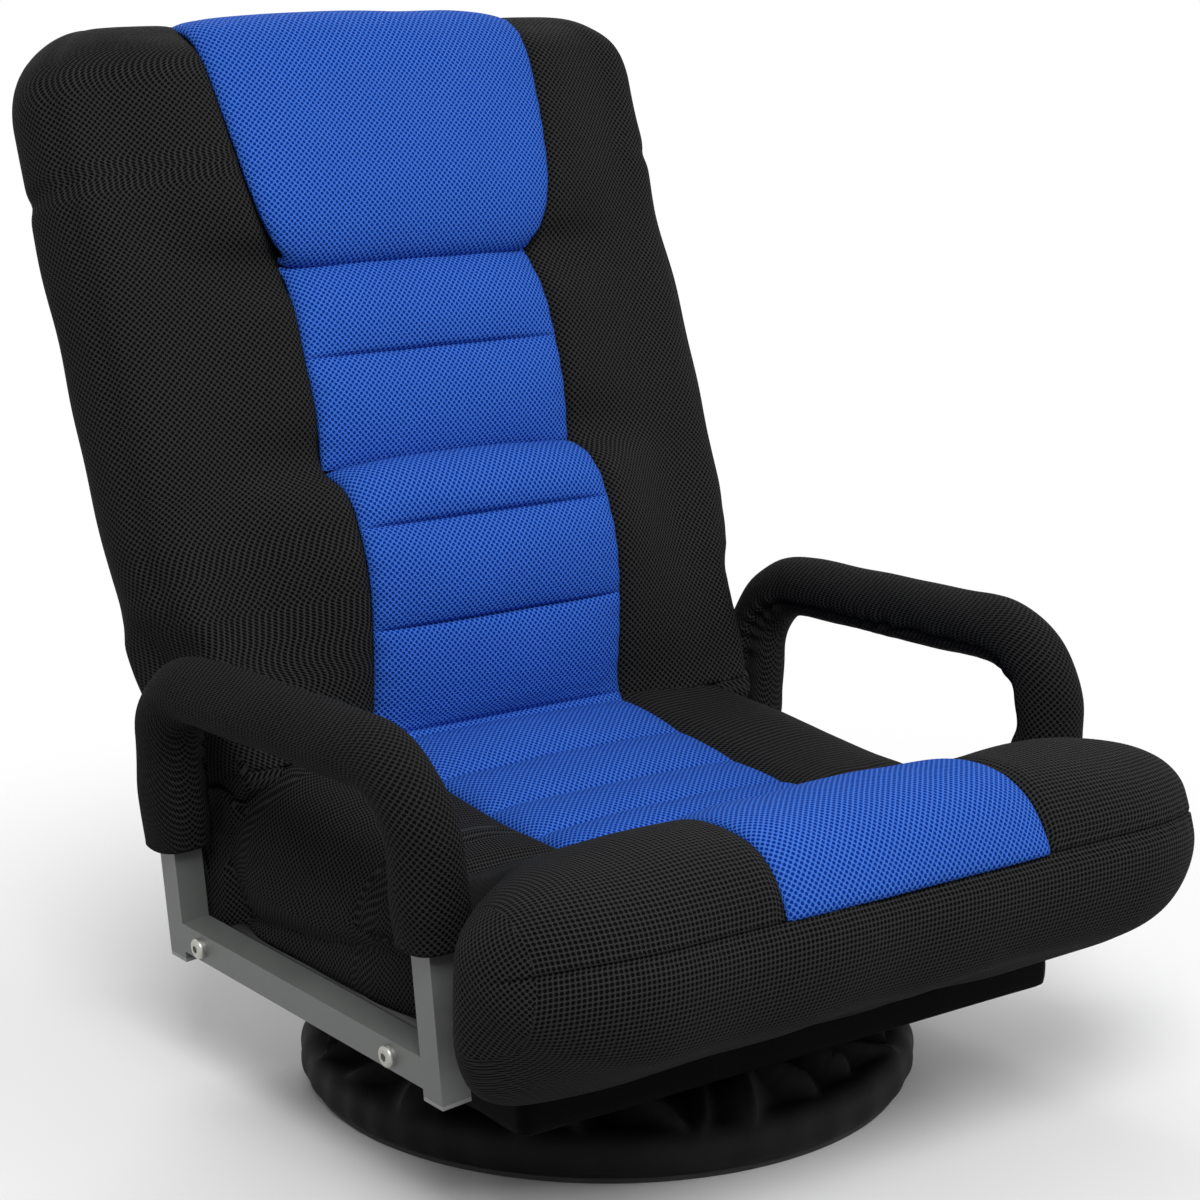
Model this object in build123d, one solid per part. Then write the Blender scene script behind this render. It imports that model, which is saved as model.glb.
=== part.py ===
from build123d import *
import math
import os

# Swivelling, reclining floor chair with padded armrests.
# Millimetres, +Z up, the chair faces -Y, +X is the sitter's left.
# The origin is on the floor, on the swivel axis.

# Clearances
soft_gap = 0.4
weld_gap = 0.1
running_gap = 0.05
bolt_gap = 0.2
hinge_side_gap = 0.7

# Swivel base
foot_height = 4.0
foot_cup = 2.0
foot_width = 14.0
ring_radius = 192.0
ring_tube_radius = 11.0
ring_wall = 1.5
vent_radius = 2.0
spoke_width = 36.0
spoke_thickness = 6.0
spoke_rise = 22.0
spoke_foot = 20.0
spoke_flat_radius = 110.0
cover_wall = 1.6
cover_neck_radius = 104.0
cover_neck_height = 61.0
cover_hem_height = 2.5
cover_hem_inset = 3.0
cover_shoulder = ((0.6, -6), (0, 1), (3, 13), (10, 23), (24, 30), (55, 36))
cover_neck_lip = 14.0
cover_neck_drop = 1.5

# Swivel bearing
plate_size = 140.0
lower_plate_thickness = 3.0
upper_plate_thickness = 3.5
bearing_height = 10.3
race_inner_radius = 38.0
race_outer_radius = 52.0
race_height = 4.2
ball_radius = 3.2
ball_count = 24
ball_pitch_radius = 45.0
groove_gap = 0.2
cage_thickness = 1.0
cage_margin = 2.0
king_pin_radius = 7.0
king_head_radius = 12.0
king_head_height = 5.0
king_head_gap = 0.3

# Bolts and nuts
bolt_radius = 4.0
bolt_head_radius = 7.0
bolt_head_height = 5.0
bolt_head_round = 2.4
socket_flats = 5.0
socket_depth = 2.6
nut_flats = 13.0
nut_height = 6.5
bolt_end = 2.0
base_bolt_radius = 61.0
seat_bolt_y = 58.0

# Seat frame
tube_radius = 11.0
tube_wall = 1.5
carrier_x = 40.0
carrier_width = 30.0
carrier_height = 20.0
carrier_wall = 1.8
front_tube_y = -190.0
rear_tube_y = 78.0
cross_tube_half = 209.0
side_tube_x = 213.0
side_tube_front = -203.0
side_tube_rear = 173.0
strap_thickness = 1.6
seat_strap_width = 44.0
seat_strap_half = 219.0
seat_strap_first_y = -150.0
seat_strap_pitch = 60.0
seat_strap_count = 4
tray_wall = 1.4
tray_height = 20.0
tray_plate_gap = 5.0

# Armrests
arm_lean = 4.77
arm_tube = 20.0
arm_wall = 1.5
rail_offset = 22.8
leg_front_y = -161.0
leg_rear_y = 146.0
arm_front_rise = 186.0
arm_rear_rise = 175.0
arm_leg_drop = 15.0
arm_bend = 52.0
sleeve_radius = 22.0
sleeve_front_rise = 79.0
sleeve_rear_rise = 59.0
cap_thickness = 2.5
cap_plug = 12.0
arm_bolt_front_y = -117.0
arm_bolt_rear_y = 112.0
spacer_radius = 8.0
spacer_thickness = 1.6

# Recliner
pivot_y = 138.0
pivot_z = 150.0
back_lean = 22.0
cheek_thickness = 3.0
cheek_boss = 30.0
cheek_lobe = 11.0
cheek_toe_y = 130.0
cheek_toe_radius = 8.0
wheel_thickness = 4.0
wheel_radius = 34.0
wheel_arm_width = 18.4
wheel_arm_length = 96.0
notch_count = 5
notch_pitch = 22.0
notch_depth = 6.0
notch_bottom = 7.5
notch_rim = 11.0
pawl_angle = 265.0
pawl_reach = 30.0
pawl_pivot_radius = 40.0
pawl_arm_width = 7.8
pawl_hub = 8.0
pawl_lift = 14.0
tooth_gap = 0.6
hinge_pin_radius = 6.0
hinge_head_radius = 10.0
hinge_head = 3.0
pawl_pin_radius = 4.0
pawl_head_radius = 6.5
spring_radius = 6.2
spring_length = 6.0

# Back frame
upright_start = 46.0
back_frame_top = 520.0
back_frame_bend = 60.0
back_cross_radius = 8.0
back_cross_wall = 1.5
back_cross_heights = (110.0, 400.0)
back_strap_width = 50.0
back_strap_heights = (165.0, 240.0, 315.0, 465.0)
back_strap_half = 205.0

# Back cushion, measured up the back from the hinge and forward from its plane
back_front = 46.0
back_rear = 41.0
back_top = 565.0
back_half_low = 214.0
back_half = 249.0
flare_start = 122.0
flare_end = 170.0
back_corner = 80.0
back_edge_round = 36.0
back_start = 66.0
hub_radius = 64.0
hub_half = 160.0
hub_neck_front = 17.0
pad_half = 102.0
headrest_half = 134.0
headrest_low_half = 106.0
headrest_profile = (
    (383, 50), (401, 66), (425, 72), (450, 73.5), (490, 72.6), (527, 68),
    (549, 57), (562, 40), (568, 20), (569, 0),
)
upper_lower_channel = ((242, 50), (250, 54), (273, 57), (300, 59), (312, 56))
upper_upper_channel = ((312, 56), (322, 60), (350, 61), (372, 56), (381, 50))
lumbar_low_channel = ((70, 50), (88, 55), (106, 63), (120, 67))
lumbar_mid_channel = ((120, 67), (128, 73), (145, 78), (170, 81), (189, 78))
lumbar_top_channel = ((189, 78), (198, 80.5), (210, 79), (226, 70), (238, 54), (241, 50))
lumbar_side = ((66, 42), (88, 54), (122, 68), (165, 79), (206, 77), (226, 68), (240, 49))
upper_side = ((240, 49), (273, 55), (314, 58), (353, 57), (381, 49))
headrest_side = ((381, 49), (401, 61), (425, 65), (490, 65), (527, 61), (546, 50))
side_falls = ((0, 1.0), (23, 0.93), (53, 0.52), (90, 0.0))
side_foot = 36.0
side_root = 30.0

# Seat cushion and front bolster
seat_overhang = 3.0
seat_profile = ((120, 214), (69, 208), (19, 202), (-30, 197.5), (-103, 197))
bolster_overhang = 64.0
bolster_profile = (
    (-150, 212), (-187, 229), (-205, 238), (-250, 250), (-277, 247), (-297, 233), (-312, 209),
    (-316, 182), (-311, 156), (-288, 132), (-252, 112),
)
bolster_crest_y = -250.0
bolster_rear_y = -187.0
bolster_foot_y = -212.0
bolster_front_corner = 90.0
bolster_rear_corner = 22.0
bolster_end_round = 62.0
bolster_seam_height = 209.0
blue_depth = 8.0
seat_edge_round = 11.0
seat_blue_rear = 74.0

# Heights that follow, from the floor up
ring_z = foot_height + ring_tube_radius
spoke_low = foot_height + 2 * ring_tube_radius + weld_gap
spoke_high = spoke_low + spoke_rise
lower_plate_low = spoke_high + spoke_thickness
lower_plate_top = lower_plate_low + lower_plate_thickness
upper_plate_low = lower_plate_top + bearing_height
carrier_low = upper_plate_low + upper_plate_thickness
ball_z = lower_plate_top + bearing_height / 2
cross_z = carrier_low + carrier_height / 2
cross_top = cross_z + tube_radius
side_z = cross_z + 2 * tube_radius + weld_gap
strap_low = side_z + tube_radius + weld_gap
seat_bottom = strap_low + strap_thickness + soft_gap
bolster_bottom = cross_top + soft_gap

# Places along and across the chair that follow
seat_front = seat_profile[-1][0]
valley_height = seat_profile[-1][1]
seat_half = side_tube_x + seat_overhang
bolster_half = side_tube_x + bolster_overhang
bolster_front = min(y for y, z in bolster_profile)
bolster_top = max(z for y, z in bolster_profile)
rail_x = side_tube_x + rail_offset
rail_z = side_z - rail_offset * math.tan(math.radians(arm_lean))
rail_to_tube = rail_offset / math.cos(math.radians(arm_lean))
outer_cheek_x = side_tube_x - tube_radius - weld_gap - cheek_thickness
wheel_x = outer_cheek_x - hinge_side_gap - wheel_thickness
inner_cheek_x = wheel_x - hinge_side_gap - cheek_thickness
upright_x = wheel_x + wheel_thickness / 2

parts = {}


def cylinder(radius, start, end):
    """A round bar from one point to another."""
    axis = Vector(*end) - Vector(*start)
    plane = Plane(origin=start, z_dir=axis)
    return extrude(plane * Circle(radius), amount=axis.length)


def pipe(radius, wall, start, end):
    """A round tube with open ends."""
    return cylinder(radius, start, end) - cylinder(radius - wall, start, end)


def block(low, high):
    """A box between two opposite corners."""
    size = Vector(*high) - Vector(*low)
    return Pos(*low) * Box(size.X, size.Y, size.Z, align=(Align.MIN, Align.MIN, Align.MIN))


def side_slab(outline, x_low, thickness):
    """A plate whose outline is drawn in the side view."""
    return Pos(x_low, 0, 0) * extrude(Plane.YZ * outline, amount=thickness)


def polygon(points):
    """A flat face from corner points, kept at the places given."""
    return make_face(Polyline(*points, close=True))


def shifted(points, distance):
    """The points of a curve, each moved to the left of the way the curve runs."""
    moved = []
    for i, (across, up) in enumerate(points):
        before = points[max(i - 1, 0)]
        after = points[min(i + 1, len(points) - 1)]
        along = Vector(after[0] - before[0], after[1] - before[1], 0).normalized()
        moved.append((across - along.Y * distance, up + along.X * distance))
    return moved


def both_sides(solid):
    """A piece on the sitter's left and its mirror image on the right."""
    return solid, mirror(solid, about=Plane.YZ)


def add_pair(name, solid):
    left, right = both_sides(solid)
    parts[name + "_left"] = left
    parts[name + "_right"] = right


def pan_head(upward):
    """Pan head with a hexagon socket, seated on the plane z = 0, above or below it."""
    head = extrude(Circle(bolt_head_radius), amount=bolt_head_height)
    head = fillet(head.edges().sort_by(Axis.Z)[-1], bolt_head_round)
    socket = extrude(RegularPolygon(socket_flats / 2, 6, major_radius=False), amount=socket_depth)
    head = head - Pos(0, 0, bolt_head_height - socket_depth) * socket
    return head if upward else Rot(180, 0, 0) * head


def nut():
    """Hexagon nut standing on the plane z = 0."""
    body = extrude(RegularPolygon(nut_flats / 2, 6, major_radius=False), amount=nut_height)
    return body - cylinder(bolt_radius + running_gap, (0, 0, -1), (0, 0, nut_height + 1))


# Rubber strip that cups the ring's underside
def base_foot_ring():
    half = foot_width / 2
    strip = Circle(ring_radius + half) - Circle(ring_radius - half)
    strip = extrude(strip, amount=foot_height + foot_cup)
    return strip - Pos(0, 0, ring_z) * Torus(ring_radius, ring_tube_radius + weld_gap)


# Ring tube with a small vent hole in its inner side
def base_ring():
    ring = Torus(ring_radius, ring_tube_radius) - Torus(ring_radius, ring_tube_radius - ring_wall)
    inner = ring_radius - ring_tube_radius
    vent = cylinder(vent_radius, (inner - ring_wall, 0, 0), (inner + 2 * ring_wall, 0, 0))
    return Pos(0, 0, ring_z) * (ring - vent)


# Cranked flat spokes: low on the ring, raised in the middle
def spoke(inner):
    foot = ring_radius - spoke_foot
    low = [(ring_radius, spoke_low), (foot, spoke_low), (spoke_flat_radius, spoke_high)]
    if inner is None:
        low = low + [(-x, z) for x, z in reversed(low)]
    else:
        low = low + [(inner, spoke_high)]
    outline = low + [(x, z + spoke_thickness) for x, z in reversed(low)]
    bar = extrude(Plane.XZ * polygon(outline), amount=spoke_width / 2, both=True)
    hole = bolt_radius + bolt_gap
    for x in (base_bolt_radius, -base_bolt_radius):
        bar = bar - cylinder(hole, (x, 0, spoke_high - 1), (x, 0, lower_plate_low + 1))
    return bar


def base_long_spoke():
    hole = king_pin_radius + running_gap
    return spoke(None) - cylinder(hole, (0, 0, spoke_high - 1), (0, 0, lower_plate_low + 1))


def base_short_spokes():
    bar = spoke(spoke_width / 2 + weld_gap)
    return [Rot(0, 0, angle) * bar for angle in (90, -90)]


# Gathered cloth cover, as a shell turned about the swivel axis
def base_cover():
    rim = ring_radius + ring_tube_radius + soft_gap + cover_wall
    outer = [
        (rim - cover_hem_inset, cover_hem_height),
        *[(rim - inset, ring_z + rise) for inset, rise in cover_shoulder],
        (cover_neck_radius + cover_neck_lip, cover_neck_height - cover_neck_drop),
        (cover_neck_radius, cover_neck_height),
    ]
    inner = shifted(outer, cover_wall)
    edges = Spline(*outer) + Line(outer[-1], inner[-1]) + Spline(*reversed(inner)) + Line(inner[0], outer[0])
    return revolve(Plane.XZ * make_face(edges), axis=Axis.Z)


# Pressed swivel plates with their ball races
def race():
    return extrude(Circle(race_outer_radius) - Circle(race_inner_radius), amount=race_height)


def groove():
    return Pos(0, 0, ball_z) * Torus(ball_pitch_radius, ball_radius + groove_gap)


def swivel_lower_plate():
    half = plate_size / 2
    plate = block((-half, -half, lower_plate_low), (half, half, lower_plate_top))
    plate = plate + Pos(0, 0, lower_plate_top) * race() - groove()
    plate = plate - cylinder(king_pin_radius + running_gap, (0, 0, 0), (0, 0, cross_top))
    hole = bolt_radius + bolt_gap
    for angle in (0, 90, 180, 270):
        place = Rot(0, 0, angle) * Pos(base_bolt_radius, 0, 0)
        plate = plate - place * cylinder(hole, (0, 0, 0), (0, 0, cross_top))
    return plate


def swivel_upper_plate():
    half = plate_size / 2
    plate = block((-half, -half, upper_plate_low), (half, half, carrier_low))
    plate = plate + Pos(0, 0, upper_plate_low - race_height) * race() - groove()
    plate = plate - cylinder(king_pin_radius + weld_gap, (0, 0, 0), (0, 0, cross_top))
    hole = bolt_radius + bolt_gap
    for x in (-carrier_x, carrier_x):
        for y in (-seat_bolt_y, seat_bolt_y):
            plate = plate - cylinder(hole, (x, y, 0), (x, y, cross_top))
    return plate


def ball_places():
    return [Rot(0, 0, 360 / ball_count * i) * Pos(ball_pitch_radius, 0, ball_z) for i in range(ball_count)]


def swivel_balls():
    return [place * Sphere(ball_radius) for place in ball_places()]


def swivel_ball_cage():
    reach = ball_radius + cage_margin
    ring = Circle(ball_pitch_radius + reach) - Circle(ball_pitch_radius - reach)
    cage = Pos(0, 0, ball_z - cage_thickness / 2) * extrude(ring, amount=cage_thickness)
    for place in ball_places():
        cage = cage - place * Cylinder(ball_radius + groove_gap, 4 * cage_thickness)
    return cage


def king_pin():
    head_top = spoke_high - king_head_gap
    pin = cylinder(king_pin_radius, (0, 0, head_top), (0, 0, carrier_low))
    return pin + cylinder(king_head_radius, (0, 0, head_top - king_head_height), (0, 0, head_top))


def base_plate_bolts():
    low = spoke_high - nut_height - bolt_end
    bolt = cylinder(bolt_radius, (0, 0, low), (0, 0, lower_plate_top))
    bolt = bolt + Pos(0, 0, lower_plate_top) * pan_head(True)
    return [Rot(0, 0, angle) * Pos(base_bolt_radius, 0, 0) * bolt for angle in (0, 90, 180, 270)]


def base_plate_nuts():
    return [
        Rot(0, 0, angle) * Pos(base_bolt_radius, 0, spoke_high - nut_height) * nut()
        for angle in (0, 90, 180, 270)
    ]


def seat_plate_places():
    return [Pos(x, y, 0) for x in (-carrier_x, carrier_x) for y in (-seat_bolt_y, seat_bolt_y)]


def seat_plate_bolts():
    high = carrier_low + carrier_height + nut_height + bolt_end
    bolt = cylinder(bolt_radius, (0, 0, upper_plate_low), (0, 0, high))
    bolt = bolt + Pos(0, 0, upper_plate_low) * pan_head(False)
    return [place * bolt for place in seat_plate_places()]


def seat_plate_nuts():
    return [place * Pos(0, 0, carrier_low + carrier_height) * nut() for place in seat_plate_places()]


# Carriers between the cross tubes, above the swivel
def seat_carriers():
    half = carrier_width / 2
    top = carrier_low + carrier_height
    solids = []
    for x in (-carrier_x, carrier_x):
        bar = block((x - half, front_tube_y, carrier_low), (x + half, rear_tube_y, top))
        bore = half - carrier_wall
        low = (x - bore, front_tube_y, carrier_low + carrier_wall)
        high = (x + bore, rear_tube_y, top - carrier_wall)
        bar = bar - block(low, high)
        for y in (front_tube_y, rear_tube_y):
            ends = (-cross_tube_half, y, cross_z), (cross_tube_half, y, cross_z)
            bar = bar - cylinder(tube_radius + weld_gap, *ends)
        for y in (-seat_bolt_y, seat_bolt_y):
            bar = bar - cylinder(bolt_radius + bolt_gap, (x, y, carrier_low - 1), (x, y, top + 1))
        solids.append(bar)
    return solids


def cross_tube(y):
    return pipe(tube_radius, tube_wall, (-cross_tube_half, y, cross_z), (cross_tube_half, y, cross_z))


def arm_place():
    """Middle of the left rail, leaning outwards with the armrest."""
    return Pos(rail_x, 0, rail_z) * Rot(0, arm_lean, 0)


def arm_bolt_holes(radius):
    """Bars along the left arm bolts, through the rail and the side tube."""
    reach = rail_to_tube + 2 * tube_radius
    bars = [cylinder(radius, (-reach, y, 0), (reach, y, 0)) for y in (arm_bolt_front_y, arm_bolt_rear_y)]
    return [arm_place() * bar for bar in bars]


def seat_side_tube():
    tube = pipe(
        tube_radius, tube_wall, (side_tube_x, side_tube_front, side_z), (side_tube_x, side_tube_rear, side_z)
    )
    for hole in arm_bolt_holes(bolt_radius + bolt_gap):
        tube = tube - hole
    return tube


def seat_straps():
    solids = []
    for i in range(seat_strap_count):
        y = seat_strap_first_y + i * seat_strap_pitch
        low = (-seat_strap_half, y - seat_strap_width / 2, strap_low)
        high = (seat_strap_half, y + seat_strap_width / 2, strap_low + strap_thickness)
        solids.append(block(low, high))
    return solids


# Cloth tray under the seat frame, open around the swivel plate
def seat_bottom_cover():
    x = cross_tube_half + soft_gap
    front = front_tube_y - tube_radius - soft_gap
    rear = rear_tube_y + tube_radius + soft_gap
    low = cross_z - tube_radius - soft_gap
    high = low + tray_height
    outside = x + tray_wall
    shell = block((-outside, front - tray_wall, low - tray_wall), (outside, rear + tray_wall, high))
    shell = shell - block((-x, front, low), (x, rear, high + 1))
    hole = plate_size / 2 + tray_plate_gap
    return shell - block((-hole, -hole, low - 2 * tray_wall), (hole, hole, high))


# Armrests, drawn in their own upright plane with the rail's middle at the origin
def arm_path(front_start, rear_start):
    points = [
        (0, leg_front_y, front_start),
        (0, leg_front_y, arm_front_rise),
        (0, leg_rear_y, arm_rear_rise),
        (0, leg_rear_y, rear_start),
    ]
    return FilletPolyline(*points, radius=arm_bend)


def along_arm(section, front_start, rear_start):
    plane = Plane(origin=(0, leg_front_y, front_start), x_dir=(1, 0, 0), z_dir=(0, 0, 1))
    return sweep(plane * section, path=arm_path(front_start, rear_start))


def arm_loop():
    bore = arm_tube - 2 * arm_wall
    outside = along_arm(Rectangle(arm_tube, arm_tube), -arm_leg_drop, -arm_leg_drop)
    return arm_place() * (outside - along_arm(Rectangle(bore, bore), -arm_leg_drop, -arm_leg_drop))


def arm_sleeve():
    outside = along_arm(Circle(sleeve_radius), sleeve_front_rise, sleeve_rear_rise)
    room = arm_tube + 2 * soft_gap
    return arm_place() * (outside - along_arm(Rectangle(room, room), sleeve_front_rise, sleeve_rear_rise))


def side_rail():
    half = arm_tube / 2
    bore = half - arm_wall
    front = leg_front_y + half
    rear = leg_rear_y - half
    rail = block((-half, front, -half), (half, rear, half)) - block((-bore, front, -bore), (bore, rear, bore))
    rail = arm_place() * rail
    for hole in arm_bolt_holes(bolt_radius + bolt_gap):
        rail = rail - hole
    return rail


def arm_end_caps():
    half = arm_tube / 2
    plug = half - arm_wall - weld_gap
    solids = []
    for y in (leg_front_y, leg_rear_y):
        low = -arm_leg_drop
        cap = block((-half, y - half, low - cap_thickness), (half, y + half, low))
        cap = cap + block((-plug, y - plug, low), (plug, y + plug, low + cap_plug))
        solids.append(arm_place() * cap)
    return solids


def arm_bolts():
    nut_seat = -rail_to_tube - tube_radius - weld_gap
    end = nut_seat - nut_height - bolt_end
    solids = []
    for y in (arm_bolt_front_y, arm_bolt_rear_y):
        bolt = cylinder(bolt_radius, (end, y, 0), (arm_tube / 2, y, 0))
        bolt = bolt + Pos(arm_tube / 2, y, 0) * Rot(0, 90, 0) * pan_head(True)
        solids.append(arm_place() * bolt)
    return solids


def arm_nuts():
    nut_seat = -rail_to_tube - tube_radius - weld_gap
    places = [Pos(nut_seat - nut_height, y, 0) * Rot(0, 90, 0) for y in (arm_bolt_front_y, arm_bolt_rear_y)]
    return [arm_place() * place * nut() for place in places]


def arm_spacers():
    face = -arm_tube / 2 - weld_gap
    solids = []
    for y in (arm_bolt_front_y, arm_bolt_rear_y):
        ring = cylinder(spacer_radius, (face - spacer_thickness, y, 0), (face, y, 0))
        ring = ring - cylinder(bolt_radius + bolt_gap, (face - spacer_thickness - 1, y, 0), (face + 1, y, 0))
        solids.append(arm_place() * ring)
    return solids


# Recliner on the left side
def around_pivot(angle, radius, along=0.0):
    """A point in the side view: out from the pivot, then along the tangent."""
    a = math.radians(angle)
    y = pivot_y + radius * math.cos(a) - along * math.sin(a)
    z = pivot_z + radius * math.sin(a) + along * math.cos(a)
    return y, z


pawl_pivot = around_pivot(pawl_angle, pawl_pivot_radius, pawl_reach)


def disc(center, radius):
    return Pos(*center, 0) * Circle(radius)


def cheek_outline():
    toe = disc((cheek_toe_y, side_z), cheek_toe_radius)
    rounds = [disc((pivot_y, pivot_z), cheek_boss), disc(pawl_pivot, cheek_lobe), toe]
    outline = make_hull([edge for shape in rounds for edge in shape.edges()])
    outline = outline - disc((pivot_y, pivot_z), hinge_pin_radius + weld_gap)
    return outline - disc(pawl_pivot, pawl_pin_radius + weld_gap)


def notched_wheel():
    outline = disc((pivot_y, pivot_z), wheel_radius)
    for i in range(notch_count):
        angle = pawl_angle + (i - 1) * notch_pitch
        bottom = wheel_radius - notch_depth
        spread = (notch_rim - notch_bottom) / 2
        corners = [
            around_pivot(angle, bottom, -notch_bottom / 2),
            around_pivot(angle, bottom, notch_bottom / 2),
            around_pivot(angle, wheel_radius + notch_depth, notch_bottom / 2 + 2 * spread),
            around_pivot(angle, wheel_radius + notch_depth, -notch_bottom / 2 - 2 * spread),
        ]
        outline = outline - polygon(corners)
    arm_angle = 90 - back_lean
    half = wheel_arm_width / 2
    arm = [
        around_pivot(arm_angle, 0, -half),
        around_pivot(arm_angle, 0, half),
        around_pivot(arm_angle, wheel_arm_length, half),
        around_pivot(arm_angle, wheel_arm_length, -half),
    ]
    outline = outline + polygon(arm) - disc((pivot_y, pivot_z), hinge_pin_radius + running_gap)
    return side_slab(outline, wheel_x, wheel_thickness)


def pawl():
    """The pawl lifted clear of the wheel, as it is while the back is moved."""
    tip = wheel_radius - notch_depth + tooth_gap
    tip_half = notch_bottom / 2 - tooth_gap
    root_half = notch_rim / 2 - tooth_gap
    arm_low = wheel_radius + 2 * tooth_gap
    arm_high = arm_low + pawl_arm_width
    tooth = [
        around_pivot(pawl_angle, tip, -tip_half),
        around_pivot(pawl_angle, tip, tip_half),
        around_pivot(pawl_angle, arm_low, root_half),
        around_pivot(pawl_angle, arm_low, pawl_reach),
        around_pivot(pawl_angle, arm_high, pawl_reach),
        around_pivot(pawl_angle, arm_high, -root_half),
        around_pivot(pawl_angle, arm_low, -root_half),
    ]
    outline = polygon(tooth) + disc(pawl_pivot, pawl_hub) - disc(pawl_pivot, pawl_pin_radius + running_gap)
    lifted = side_slab(outline, wheel_x, wheel_thickness)
    return lifted.rotate(Axis((0, *pawl_pivot), (1, 0, 0)), pawl_lift)


def along_hinge(radius, x_low, x_high, center):
    """A round bar across the chair, through a point in the side view."""
    return cylinder(radius, (x_low, *center), (x_high, *center))


def hinge_pin():
    """A rivet across both cheek plates, with a head on each side."""
    center = pivot_y, pivot_z
    low = inner_cheek_x - weld_gap
    high = outer_cheek_x + cheek_thickness + weld_gap
    pin = along_hinge(hinge_pin_radius, low - hinge_head, high + hinge_head, center)
    pin = pin + along_hinge(hinge_head_radius, low - hinge_head, low, center)
    return pin + along_hinge(hinge_head_radius, high, high + hinge_head, center)


def pawl_pin():
    head = inner_cheek_x - spring_length - 2 * weld_gap
    pin = along_hinge(pawl_pin_radius, head - hinge_head, outer_cheek_x + cheek_thickness, pawl_pivot)
    return pin + along_hinge(pawl_head_radius, head - hinge_head, head, pawl_pivot)


def pawl_spring():
    high = inner_cheek_x - weld_gap
    coil = along_hinge(spring_radius, high - spring_length, high, pawl_pivot)
    return coil - along_hinge(pawl_pin_radius + weld_gap, 0, high + 1, pawl_pivot)


# The back, drawn upright with the hinge at the origin, then leaned
def lean_back(solid):
    return Pos(0, pivot_y, pivot_z) * Rot(-back_lean, 0, 0) * solid


def back_tube_path():
    points = [
        (-upright_x, 0, upright_start),
        (-upright_x, 0, back_frame_top),
        (upright_x, 0, back_frame_top),
        (upright_x, 0, upright_start),
    ]
    return FilletPolyline(*points, radius=back_frame_bend)


def along_back_tube(radius):
    plane = Plane(origin=(-upright_x, 0, upright_start), z_dir=(0, 0, 1))
    return sweep(plane * Circle(radius), path=back_tube_path())


def back_frame_tube():
    return lean_back(along_back_tube(tube_radius) - along_back_tube(tube_radius - tube_wall))


def back_cross_tubes():
    solids = []
    for height in back_cross_heights:
        bar = pipe(back_cross_radius, back_cross_wall, (-upright_x, 0, height), (upright_x, 0, height))
        for x in (-upright_x, upright_x):
            bar = bar - cylinder(tube_radius + weld_gap, (x, 0, upright_start), (x, 0, back_frame_top))
        solids.append(lean_back(bar))
    return solids


def back_strap(height, gap):
    front = -tube_radius - weld_gap - strap_thickness - gap
    half = back_strap_width / 2 + gap
    reach = back_strap_half + gap
    return block((-reach, front, height - half), (reach, -tube_radius - weld_gap + gap, height + half))


def back_straps():
    return [lean_back(back_strap(height, 0)) for height in back_strap_heights]


def back_side_section(across, share):
    """A slice through the black cover where it rises to meet the blue pads."""
    lines = []
    for side in (lumbar_side, upper_side, headrest_side):
        lines.append([(-side_foot - share * (depth - side_foot), height) for height, depth in side])
    low = lines[0][0]
    high = lines[-1][-1]
    edges = [Spline(*line) for line in lines]
    edges.append(Polyline(high, (-side_root, high[1]), (-side_root, low[1]), low))
    return Plane.YZ.offset(pad_half + soft_gap + across) * make_face(edges)


def back_side():
    """The left rise of the black cover, with room for the headrest."""
    rise = loft([back_side_section(across, share) for across, share in side_falls])
    return rise - headrest_prism(soft_gap)


def back_cushion():
    top = back_top
    right = [
        Line((0, back_start), (back_half_low, back_start)),
        Line((back_half_low, back_start), (back_half_low, flare_start)),
        Spline((back_half_low, flare_start), (back_half, flare_end), tangents=((0, 1), (0, 1))),
        Line((back_half, flare_end), (back_half, top - back_corner)),
        RadiusArc((back_half, top - back_corner), (back_half - back_corner, top), -back_corner),
        Line((back_half - back_corner, top), (0, top)),
        Line((0, top), (0, back_start)),
    ]
    half = make_face(right)
    slab = Pos(0, back_rear, 0) * extrude(Plane.XZ * half, amount=back_front + back_rear)
    rim = [edge for face in slab.faces().filter_by(Axis.Y) for edge in face.edges()]
    rim = [edge for edge in rim if edge.center().X > 1 and edge.center().Z > back_start + 1]
    slab = fillet(rim, back_edge_round)
    slab = slab + mirror(slab, about=Plane.YZ)
    for side in both_sides(back_side()):
        slab = slab + side
    slab = slab + cylinder(hub_radius, (-hub_half, 0, 0), (hub_half, 0, 0))
    slab = slab + block((-hub_half, -hub_neck_front, 0), (hub_half, back_rear, back_start))
    slab = slab - along_back_tube(tube_radius + soft_gap)
    for height in back_cross_heights:
        slab = slab - cylinder(back_cross_radius + soft_gap, (-upright_x, 0, height), (upright_x, 0, height))
    for height in back_strap_heights:
        slab = slab - back_strap(height, soft_gap)
    return lean_back(slab)


def channel_pad(channels, half_width):
    """A pad on the front of the back, with sewn channels given as heights and depths."""
    base = back_front + soft_gap
    edges = []
    for channel in channels:
        edges.append(Spline(*[(-depth, height) for height, depth in channel]))
    low = (-channels[0][0][1], channels[0][0][0])
    high = (-channels[-1][-1][1], channels[-1][-1][0])
    edges.append(Polyline(high, (-base, high[1]), (-base, low[1]), low))
    return extrude(Plane.YZ * make_face(edges), amount=half_width, both=True)


def headrest_prism(gap):
    """A block with the headrest's outline, wider towards the top, forward from the middle of the back."""
    low = headrest_profile[0][0] - gap
    high = back_top + blue_depth
    low_half = headrest_low_half + gap
    high_half = headrest_half + gap
    outline = polygon([(-low_half, low), (low_half, low), (high_half, high), (-high_half, high)])
    return extrude(Plane.XZ * outline, amount=2 * back_front)


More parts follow.
